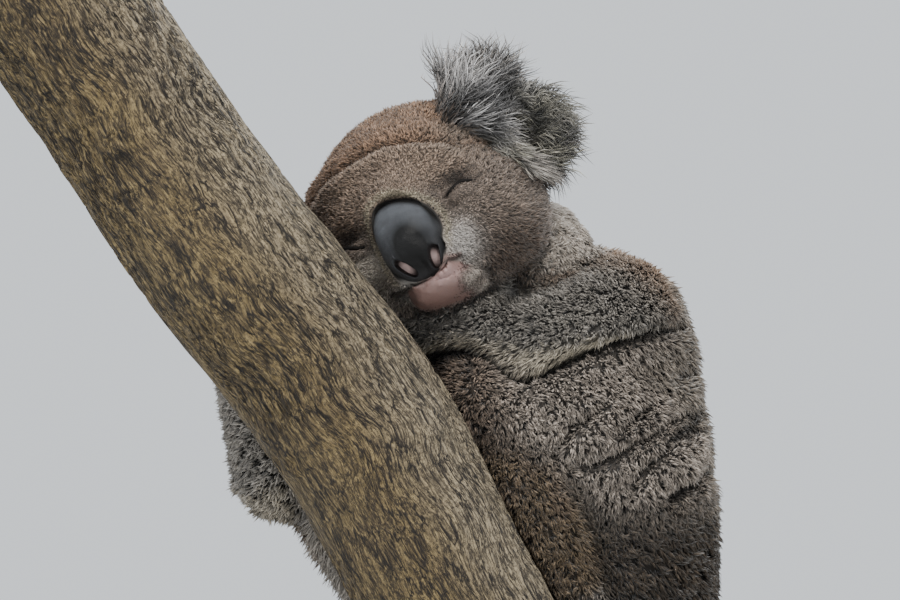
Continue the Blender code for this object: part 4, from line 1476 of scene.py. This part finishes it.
# The line of each tuft leaves the skin at its lift, sags back towards it and bends aside. Tips are drawn
# to the middle of their lock, each lock leans its own way, and nothing grows into the bark.
def tuftLines(chosen, t, gather):
    count = len(chosen)
    root, normal, way = roots[chosen], rootNormals[chosen], rootFlow[chosen]
    seed, _ = nearestSeed(root, gather["lock"] * mm, 131)
    cell = np.round(seed / (0.1 * mm)).astype(np.int64)
    lockTurn = (shuffle(cell, 17) + shuffle(cell, 18) - 1) * 1.7 * gather["turn"]
    turn = ((lockTurn + rng.normal(0, tuftChance["turn"], count)) * tuftCalm[chosen])[:, None]
    side = np.cross(normal, way)
    way, side = way * np.cos(turn) + side * np.sin(turn), side * np.cos(turn) - way * np.sin(turn)
    length = tuftLength[chosen] * mm * rng.uniform(*tuftChance["length"], count)
    length = length * (0.85 + 0.3 * shuffle(cell, 19))
    width = tuftWidth[chosen] * mm * rng.uniform(*tuftChance["width"], count)
    lift = tuftLift[chosen] * rng.uniform(*tuftChance["lift"], count) * (0.85 + 0.3 * shuffle(cell, 20))
    bend = rng.normal(0, tuftChance["bend"], count)
    sag = rng.uniform(*tuftChance["sag"], count) * np.sin(lift)
    ahead = np.cos(lift)[:, None] * t
    rise = np.sin(lift)[:, None] * t - sag[:, None] * t ** 2
    wave = np.sin(t * 5.0 + 6.28 * shuffle(cell, 21)[:, None]) * t
    aside = bend[:, None] * t ** 2 + gather["wave"] * wave
    line = ahead[..., None] * way[:, None] + rise[..., None] * normal[:, None]
    line = line + aside[..., None] * side[:, None]
    deep = tuftChance["rootDeep"] * length[:, None, None] + 0.1 * mm
    line = root[:, None] + line * length[:, None, None] - normal[:, None] * deep
    bundle, _ = nearestSeed(root, gather["bundle"] * mm, 137)
    for middle, amount in ((seed, gather["draw"]), (bundle, gather["drawAll"])):
        pull = middle - root
        pull -= (pull * normal).sum(1, keepdims=True) * normal
        line += pull[:, None] * (amount * t ** 1.3)[None, :, None]
    line[:, :, 2] -= tuftChance["hang"] * t ** 2 * length[:, None]
    gap, out = barkGap(line.reshape(-1, 3))
    pushed = np.clip(tuftChance["offBark"] * mm - gap, 0, 0.02)
    line = line + (out * pushed[:, None]).reshape(line.shape)
    return line, width, cell


# Each tuft's tone: its place's own, with pale and dark hairs between, dark at the root, partly the hair's
# own dark base and partly painted shade deep in the coat, and darker in the skin's hollows and in the folds
# as painted shade.
def tuftTones(chosen, along, cell, rings):
    base = furTone(roots[chosen], rootShare[chosen], rootNormals[chosen])
    own = rng.random(len(chosen))
    light = np.where(own > hairTone["paleAbove"], hairTone["pale"], 1.0)
    grizzle = np.where(own < hairTone["darkBelow"], hairTone["dark"], light)
    grizzle = grizzle * (0.76 + 0.48 * shuffle(cell, 22))
    grizzle = grizzle ** (1.5 if rings > 1 else 1.0)
    grizzle = 1 + (grizzle - 1) * (1 - 0.6 * ease(base.mean(1), 0.26, 0.42) * (rings == 1))
    # dark at the root, pale at the tip: partly the hair's own bands and partly painted shade deep in the
    # coat
    shadow = hairTone["rootTone"][rings] + hairTone["tipMore"][rings] * along
    # painted shade: darker in the skin's hollows and in the folds
    hollow = 1 - hairTone["hollow"] * np.clip(rootHollow[chosen], 0, 1)
    hollow = hollow * (1 - hairTone["fold"] * rootFold[chosen])
    tone = base[:, None] * (grizzle * hollow)[:, None, None] * shadow[None, :, None]
    return np.clip(tone.reshape(-1, 3), 0.004, 0.85)


# Closed spindles along the tufts' lines, with a small patch of the unwrap for each at its root's place.
def growTufts(name, chosen, rings, unwrap, gather):
    count, each = len(chosen), 3 * rings + 2
    t = np.array(ringPlaces[rings])
    line, width, cell = tuftLines(chosen, t, gather)
    tangent = unit(np.gradient(line, axis=1))
    across = unit(np.cross(tangent, rootNormals[chosen][:, None]))
    upward = np.cross(across, tangent)
    corners = np.empty((count, each, 3))
    corners[:, 0], corners[:, -1] = line[:, 0], line[:, -1]
    for ring in range(rings):
        reach = (width / 2 * ringWidths[rings][ring])[:, None]
        for corner, angle in enumerate((90, 210, 330)):
            turnTo = math.radians(angle)
            offset = across[:, ring + 1] * math.cos(turnTo)
            offset = offset + upward[:, ring + 1] * (0.7 * math.sin(turnTo))
            corners[:, 1 + 3 * ring + corner] = line[:, ring + 1] + offset * reach
    pattern = spindlePattern(rings)
    first = corners[0] - corners[0].mean(0)
    inward = (np.cross(first[pattern[:, 0]], first[pattern[:, 1]]) * first[pattern[:, 2]]).sum() < 0
    pattern = pattern[:, ::-1] if inward else pattern
    faces = (pattern[None] + np.arange(count)[:, None, None] * each).reshape(-1, 3)
    obj = meshObject(name, corners.reshape(-1, 3), faces)
    along = np.concatenate([[0], np.repeat(t[1:-1], 3), [1.0]])
    addColour(obj, "tint", tuftTones(chosen, along, cell, rings))
    slip = np.concatenate([[0], np.tile((0.0, -1.0, 1.0), rings), [0]]) * 0.0014
    stroke = (along - 0.5) * 0.0028 + np.concatenate([[0], np.tile((0.0, 0.0002, -0.0002), rings), [0]])
    centre = unwrap(roots[chosen])
    uv = np.stack([centre[:, :1] + slip[None], centre[:, 1:] + stroke[None]], -1).reshape(-1, 2)
    bakeMap = obj.data.uv_layers.new(name="OFBake")
    bakeMap.data.foreach_set("uv", np.clip(uv[faces.ravel()], 0, 1).astype(np.float32).ravel())
    return obj


# Longitude and height about a line, each stretched to fill 0 to 1.
def unwrapper(points, line):
    middle = points.mean(0)
    axis = headTurn[:, 1] if line is None else unit(middleOf(line[1]) - middleOf(line[0]))
    first = unit(np.cross(axis, (0.31, 0.92, 0.23)))
    second = np.cross(axis, first)
    low, high = ((points - middle) @ axis).min(), ((points - middle) @ axis).max()

    def unwrap(these):
        away = these - middle
        turn = np.arctan2(away @ first, away @ second) / (2 * math.pi) + 0.5
        height = (away @ axis - low) / (high - low)
        return np.stack([0.003 + 0.994 * turn, 0.003 + 0.994 * height], 1)

    return unwrap


# Hair: the tone carried by each tuft, with darker grains and a little sheen.
def furMaterial(name, roughness, sheen, gloss):
    made, tree, shader = newMaterial(name, roughness, Sheen_Weight=sheen, Sheen_Roughness=0.45)
    shader.inputs["Specular IOR Level"].default_value = gloss
    tint = carried(tree, "tint").outputs["Color"]
    grain = placeSpeckle(tree, 1300.0, 0.5)
    dark = mixColour(tree, 1.0, tint, (0.66, 0.64, 0.62), "MULTIPLY")
    tone = mixColour(tree, grain.outputs["Mask"], tint, dark)
    setFinish(tree, shader, tone, grain.outputs["Grain"], roughness - 0.1, roughness + 0.1)
    addBump(tree, shader, grain.outputs["Grain"], 0.35, 0.0003)
    return made


# Tufts shared out to their pieces, each grown, unwrapped and given the material of its slot.
def addCoat():
    looks = {
        "coat": furMaterial("woolCoat", 0.82, 0.15, 0.22),
        "face_coat": furMaterial("faceCoat", 0.84, 0.12, 0.20),
        "ear_coat": furMaterial("earCoat", 0.70, 0.20, 0.35),
    }
    owner = rootShare.argmax(1)
    isLeft = roots[:, 1] < 0.0
    total = 0
    for name, made in coatPieces.items():
        chosen = np.isin(owner, [regionNames.index(region) for region in made["regions"]])
        kind, front = "body", made.get("front")
        if made["regions"] == ("ear",):
            chosen &= besideEar(roots, made["side"])
            kind = "ear"
        elif "side" in made:
            chosen &= isLeft == (made["side"] == "left")
        if front is not None:
            chosen &= (toHead(roots)[:, 2] > faceEnds) == front
            kind = "head"
        chosen = np.flatnonzero(chosen)
        most = tuftMost // (made["rings"] * 6)
        if len(chosen) > most:
            print(name, "thinned from", len(chosen), "to", most)
            chosen = chosen[np.linspace(0, len(chosen) - 1, most).astype(int)]
        unwrap = unwrapper(roots[chosen], made.get("sleeve"))
        obj = growTufts(name, chosen, made["rings"], unwrap, tuftGather[kind])
        obj.data.materials.append(looks[made["slot"]])
        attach(obj, "root")
        total += len(obj.data.polygons)
        print(name, len(chosen), "tufts", len(obj.data.polygons), "triangles")
    print("coat", total, "triangles")


addCoat()

# The nose pad: rows from its middle to its rim, points round it, how deep the nostrils go and how high
# the wings beside them stand (mm).
noseDetail = {"rows": 88, "around": 144, "depth": 6.5, "wing": 0.9}
nostrils = (  # ends of the opening and its half width
    {"side": 1, "left": (8.6, 12.5), "up": (-40.6, -31.8), "wide": 2.4},
    {"side": -1, "left": (-4.7, -9.4), "up": (-38.8, -31.0), "wide": 2.9},
)


# The pad: rings from its middle to its rim, its height a dome over the outline, closed behind the face;
# the nostrils are pushed in, each an opening that leans outwards, with a raised wing round it.
def addNose():
    rows, around = noseDetail["rows"], noseDetail["around"]
    share = np.concatenate([np.linspace(0.004, 1.0, rows) ** 0.85, [1.0, 0.94, 0.6, 0.02]])
    back = np.concatenate([np.zeros(rows), [2.5, 6.0, 8.0, 8.5]])[:, None]
    turn = ringTurns(around)
    rim = np.stack([np.cos(turn), np.sin(turn)], 1) * (nosePad["halfWidth"], nosePad["halfHeight"])
    for _ in range(6):
        rim = rim / noseReach(rim[:, 0] + nosePad["left"], nosePad["middle"] + rim[:, 1])[:, None]
    left = nosePad["left"] + share[:, None] * rim[None, :, 0]
    up = nosePad["middle"] + share[:, None] * rim[None, :, 1]
    full = np.clip(share, 0, 1)[:, None]
    front = back == 0
    rise = (up - nosePad["middle"]) / nosePad["halfHeight"]
    crest = nosePad["front"] - 10.0 * ease(rise, -0.2, 1.0) - 3.0 * ease(-rise, 0.4, 1.0)
    out = nosePad["base"] + (crest - nosePad["base"]) * np.clip(1 - full ** 2.6, 0, 1) ** 0.56
    rimFree = 1 - ease(full, 0.93, 1.0)
    wings = 1.4 * bell(np.abs(left - 3) - 9.5, 5.5) * ease(-rise, 0.15, 0.6)
    cleft = 1.3 * bell(left - 3.2, 1.7) * ease(-rise, 0.45, 0.9)
    out += (wings - cleft) * rimFree - back
    hole = np.zeros_like(out)
    for made in nostrils:
        distance, along = fromPath(left, up, made["left"], made["up"])
        wide = made["wide"] * (0.9 + 0.25 * np.sin(along * math.pi))
        inside = (1 - ease(distance, wide * 0.55, wide)) * front
        outer = (left - np.interp(up, made["up"], made["left"])) * made["side"] > -1
        wing = bell(distance - wide - 1.0, 1.1) * outer * (1 - inside) * front
        wing = wing * noseDetail["wing"] * (1 - ease(full, 0.70, 0.92))
        out += (wing - inside * noseDetail["depth"]) * rimFree
        left = left + made["side"] * -0.8 * inside
        hole = np.maximum(hole, inside)
    pebble = softNoise(np.stack([left, up, out], -1).reshape(-1, 3), 1.5, 51).reshape(out.shape) * 0.08
    wrinkle = np.sin((up - nosePad["middle"]) * 1.9 + 0.03 * left ** 2) * 0.07 * ease(rise, 0.2, 0.7)
    out += (pebble + wrinkle) * front
    grid = np.stack([left, up, out], -1)
    corners, triangles = closedTube(grid, grid[0].mean(0), grid[-1].mean(0))
    obj = meshObject("nosePad", fromHead(corners), triangles)
    facedOut(obj)
    # Painted shade over the dark leather: black on the lower half between the nostrils, and along the pad's
    # edge, most at the top, in the crease round it.
    black = 1.6 * inPatch("noseBlack", left, up)
    black = black + bell(full - 1.0, 0.07 + 0.06 * ease(up, -6, 2)) * (0.35 + 0.65 * ease(up, -22, -8))
    flush = np.maximum(inPatch("rightFlush", left, up), 0.8 * inPatch("leftFlush", left, up))
    carriedValues = {"nostril": hole, "black": np.clip(black, 0, 1), "rise": rise, "flush": flush}
    for key, values in carriedValues.items():
        addValue(obj, key, np.append(values.ravel(), (0, 0)))
    obj.data.materials.append(noseMaterial())
    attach(obj, "root")
    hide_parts("nose")
    print("nose", len(obj.data.polygons), "triangles")


# Tones of the nose: high is a painted reflection of the sky on the top, black is painted shade over the
# dark leather, deep and rim are painted shade in the nostrils, flush is their pink lining.
noseLook = {
    "low": (0.034, 0.034, 0.036), "high": (0.064, 0.069, 0.077), "mottle": (0.030, 0.031, 0.034),
    "black": (0.003, 0.003, 0.003), "deep": (0.005, 0.004, 0.004), "flush": (0.34, 0.25, 0.235),
    "rim": (0.006, 0.004, 0.004),
}


# Leather: dark grey, lighter and bluer towards the top as a painted reflection of the sky, black between
# the nostrils and round its edge as painted shade over its own dark leather, pink inside the nostrils with
# painted shade at their edges and deep in them, finely pebbled.
def noseMaterial():
    made, tree, shader = newMaterial("noseLeather", 0.5)
    shader.inputs["Specular IOR Level"].default_value = 0.17
    place = tree.nodes.new("ShaderNodeTexCoord")
    rise, black, nostril, flush = (
        carried(tree, key).outputs["Fac"] for key in ("rise", "black", "nostril", "flush")
    )
    mottle = noiseAt(tree, place, "Object", 120.0, 4.0)
    cells = addNode(tree, "ShaderNodeTexVoronoi", {"Scale": 900.0}, feature="DISTANCE_TO_EDGE")
    join(tree, place, "Object", cells, "Vector")
    # painted reflection of the sky: lighter, bluer grey towards the top
    tone = layer(tree, noseLook["low"], noseLook["high"], rise, -0.6, 0.4)
    tone = layer(tree, tone, noseLook["mottle"], mottle, 0.42, 0.68, 0.5)
    # painted shade: black below and round the edge
    tone = layer(tree, tone, noseLook["black"], black, 0.1, 0.8, 0.98)
    # inside the nostrils: their pink lining, with painted shade near black at the edges and deep in them
    inner = layer(tree, noseLook["deep"], noseLook["flush"], flush, 0.15, 0.85)
    inner = layer(tree, noseLook["rim"], inner, nostril, 0.80, 1.0)
    tone = layer(tree, tone, inner, nostril, 0.05, 0.35)
    setFinish(tree, shader, tone, mottle, 0.42, 0.62)
    addBump(tree, shader, mapRange(tree, cells.outputs["Distance"], 0.0, 0.2, 0, 1), 0.28, 0.0003)
    return made


addNose()

# The lash lines, the dark closed edge of each lid: thickness and how far they stand out (mm).
lashLine = {
    "steps": 30, "around": 8, "thick": 1.55, "proud": 0.55,
    "dark": (0.002, 0.002, 0.002), "light": (0.008, 0.006, 0.005),
}


# A tube of flattened rings along a line, closed by a point at each end: its corners and triangles.
def taperedTube(line, thick, across, upward, around, flat):
    turn = ringTurns(around)
    ring = np.cos(turn)[None, :, None] * across[:, None] * flat
    ring = ring + np.sin(turn)[None, :, None] * upward[:, None]
    return closedTube(line[:, None] + ring * thick[:, None, None], line[0], line[-1])


# The lids' edge: near black, dull, with faint paler flecks.
def lidMaterial():
    made, tree, shader = newMaterial("lidEdge", 0.75)
    shader.inputs["Specular IOR Level"].default_value = 0.15
    noise = noiseAt(tree, tree.nodes.new("ShaderNodeTexCoord"), "Object", 700.0, 3.0)
    tone = layer(tree, lashLine["dark"], lashLine["light"], noise, 0.35, 0.65)
    tree.links.new(tone, shader.inputs["Base Color"])
    return made


# Each line: the closed eye's slit cast onto the skin along the face's axis, thickest in its middle.
def addLashes():
    made = lidMaterial()
    skinTree = BVHTree.FromPolygons(places.tolist(), skinFaces.tolist())
    steps, slit, outOfFace = lashLine["steps"], face["slit"], headTurn[:, 2]
    chain = np.stack([np.arange(steps - 1), np.arange(1, steps)], 1)
    share = np.linspace(0, 1, steps)
    knots = np.linspace(0, 1, len(slit["left"]))
    swell = np.sin(np.clip(share * 0.85 + 0.10, 0, 1) * math.pi) ** 0.8
    thick = (lashLine["thick"] * swell + 0.05) * mm
    outward = np.tile(outOfFace, (steps, 1))
    for side, sign in (("left", 1), ("right", -1)):
        lefts, ups = (np.interp(share, knots, row) for row in (slit["left"], slit["up"][sign]))
        line = []
        for left, up in zip(lefts, ups):
            hit = skinTree.ray_cast(Vector(fromHead((left * sign, up, 90))), Vector(-outOfFace))[0]
            line.append(hit if hit is not None else fromHead((left * sign, up, 44)))
        line = relax(np.array(line), chain, 0.5, 3) + outOfFace * lashLine["proud"] * mm
        across = unit(np.cross(unit(np.gradient(line, axis=0)), outward))
        corners, triangles = taperedTube(line, thick, across, outward, lashLine["around"], 0.9)
        obj = meshObject(f"lashLine_{side}", corners, triangles)
        facedOut(obj)
        obj.data.materials.append(made)
        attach(obj, "root")


addLashes()
print("lash lines")

# Claws: rings along each and round it, thickness at the root and tip and how far it bows (mm).
claws = {
    "rows": 14, "around": 10, "thick": 2.3, "tip": 0.15, "bow": 1.6, "flat": 0.72,
    "dark": (0.018, 0.015, 0.013), "pale": (0.085, 0.068, 0.052),
}


# Claw horn: dark, streaked, half glossy.
def hornMaterial():
    made, tree, shader = newMaterial("clawHorn", 0.32)
    streak = noiseAt(tree, tree.nodes.new("ShaderNodeTexCoord"), "Object", 260.0, 4.0)
    tone = layer(tree, claws["dark"], claws["pale"], streak, 0.35, 0.7)
    setFinish(tree, shader, tone, streak, 0.25, 0.45)
    addBump(tree, shader, streak, 0.2, 0.0003)
    return made


# Each claw: an oval section carried along a curve from its root to its tip, drawn down to a point.
def addClaws():
    names = sorted(name for name in nodes if name.startswith("claw_"))
    corners, triangles, start = [], [], 0
    share = np.linspace(0, 1, claws["rows"])
    thick = claws["thick"] * mm * (1 - share ** 1.6) ** 0.8 + claws["tip"] * mm
    for name in names:
        points, _, _ = mergedNode(name)
        axis = np.linalg.svd(points - points.mean(0))[2][0]
        place = (points - points.mean(0)) @ axis
        ends = [points[place > np.quantile(place, 0.8)], points[place < np.quantile(place, 0.2)]]
        spread = [np.linalg.norm(end - end.mean(0), axis=1).mean() for end in ends]
        root, tip = (end.mean(0) for end in (ends if spread[0] > spread[1] else ends[::-1]))
        out = barkGap(root[None])[1][0]
        bow = out * (np.sin(share * math.pi) * claws["bow"] * mm)[:, None]
        line = root + (tip - root) * share[:, None] + bow
        along = unit(np.gradient(line, axis=0))
        across = unit(np.cross(along, out))
        upward = np.cross(across, along)
        shell, faces = taperedTube(line, thick, across, upward, claws["around"], claws["flat"])
        corners.append(shell)
        triangles.append(faces + start)
        start += len(shell)
    obj = meshObject("claws", np.vstack(corners), np.vstack(triangles))
    facedOut(obj)
    obj.data.materials.append(hornMaterial())
    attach(obj, "root")
    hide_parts(*names)
    print("claws", len(obj.data.polygons), "triangles")


addClaws()

stand = {
    "rods": ("stand_rod_a", "stand_rod_b"),
    "woodDark": (0.040, 0.021, 0.012), "woodLight": (0.115, 0.064, 0.034), "pore": (0.018, 0.010, 0.006),
    "steelDull": (0.42, 0.42, 0.42), "steelBright": (0.62, 0.61, 0.60),
    "collar": (  # radius and height of its outline (mm)
        (11.2, 0.1), (17.5, 0.1), (18.2, 0.9), (18.2, 3.2), (17.2, 4.4),
        (13.2, 5.0), (12.2, 6.6), (11.4, 7.0), (11.2, 6.0),
    ),
    "collarAround": 48,
}


# The object's own places, drawn together by a factor along each axis.
def scaledPlace(tree, factors):
    scaled = addNode(tree, "ShaderNodeMapping", {"Scale": factors})
    join(tree, tree.nodes.new("ShaderNodeTexCoord"), "Object", scaled, "Vector")
    return scaled


# Stained wood: bands and pores drawn out along the board.
def woodMaterial():
    made, tree, shader = newMaterial("stainedWood", 0.38, Coat_Weight=0.25, Coat_Roughness=0.25)
    place = scaledPlace(tree, (1.6, 22, 22))
    bands = noiseAt(tree, place, "Vector", 2.4, 5.0, Distortion=1.2)
    pores = noiseAt(tree, place, "Vector", 34.0, 3.0)
    tone = layer(tree, stand["woodDark"], stand["woodLight"], bands, 0.35, 0.66)
    tone = layer(tree, tone, stand["pore"], pores, 0.56, 0.70, 0.7)
    setFinish(tree, shader, tone, pores, 0.30, 0.50)
    addBump(tree, shader, pores, 0.18, 0.0004)
    return made


# Steel brushed round the rod.
def steelMaterial():
    made, tree, shader = newMaterial("brushedSteel", 0.30, Metallic=1.0)
    brush = noiseAt(tree, scaledPlace(tree, (60, 60, 2600)), "Vector", 1.0, 3.0)
    tone = mixColour(tree, brush, stand["steelDull"], stand["steelBright"])
    setFinish(tree, shader, tone, brush, 0.24, 0.42)
    addBump(tree, shader, brush, 0.15, 0.0002)
    return made


# A turned collar where a rod meets the board: its outline carried round the rod and closed on itself.
def addCollar(rod, steel):
    low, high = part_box(rod)
    x, y = (low.x + high.x) / 2, (low.y + high.y) / 2
    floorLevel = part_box("stand_base")[1].z
    profile, around = np.array(stand["collar"]) * mm, stand["collarAround"]
    turn = ringTurns(around)
    shell = np.stack([
        x + profile[:, :1] * np.cos(turn), y + profile[:, :1] * np.sin(turn),
        np.broadcast_to(floorLevel + profile[:, 1:], (len(profile), around)),
    ], -1)
    index = np.arange(len(profile) * around).reshape(len(profile), around)
    nextRow, right = np.roll(index, -1, axis=0), np.roll(index, -1, axis=1)
    quads = np.stack([index, right, np.roll(nextRow, -1, axis=1), nextRow], -1).reshape(-1, 4)
    collar = meshObject(rod.replace("stand_rod", "stand_collar"), shell.reshape(-1, 3), quads)
    collar.data.materials.append(steel)
    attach(collar, "root")


# The board in wood, the rods in steel, and a collar at the foot of each rod.
def dressStand():
    wood, steel = woodMaterial(), steelMaterial()
    for name, made in (("stand_base", wood), *((rod, steel) for rod in stand["rods"])):
        nodes[name].data.materials.clear()
        nodes[name].data.materials.append(made)
    for rod in stand["rods"]:
        addCollar(rod, steel)


dressStand()
print("stand dressed")
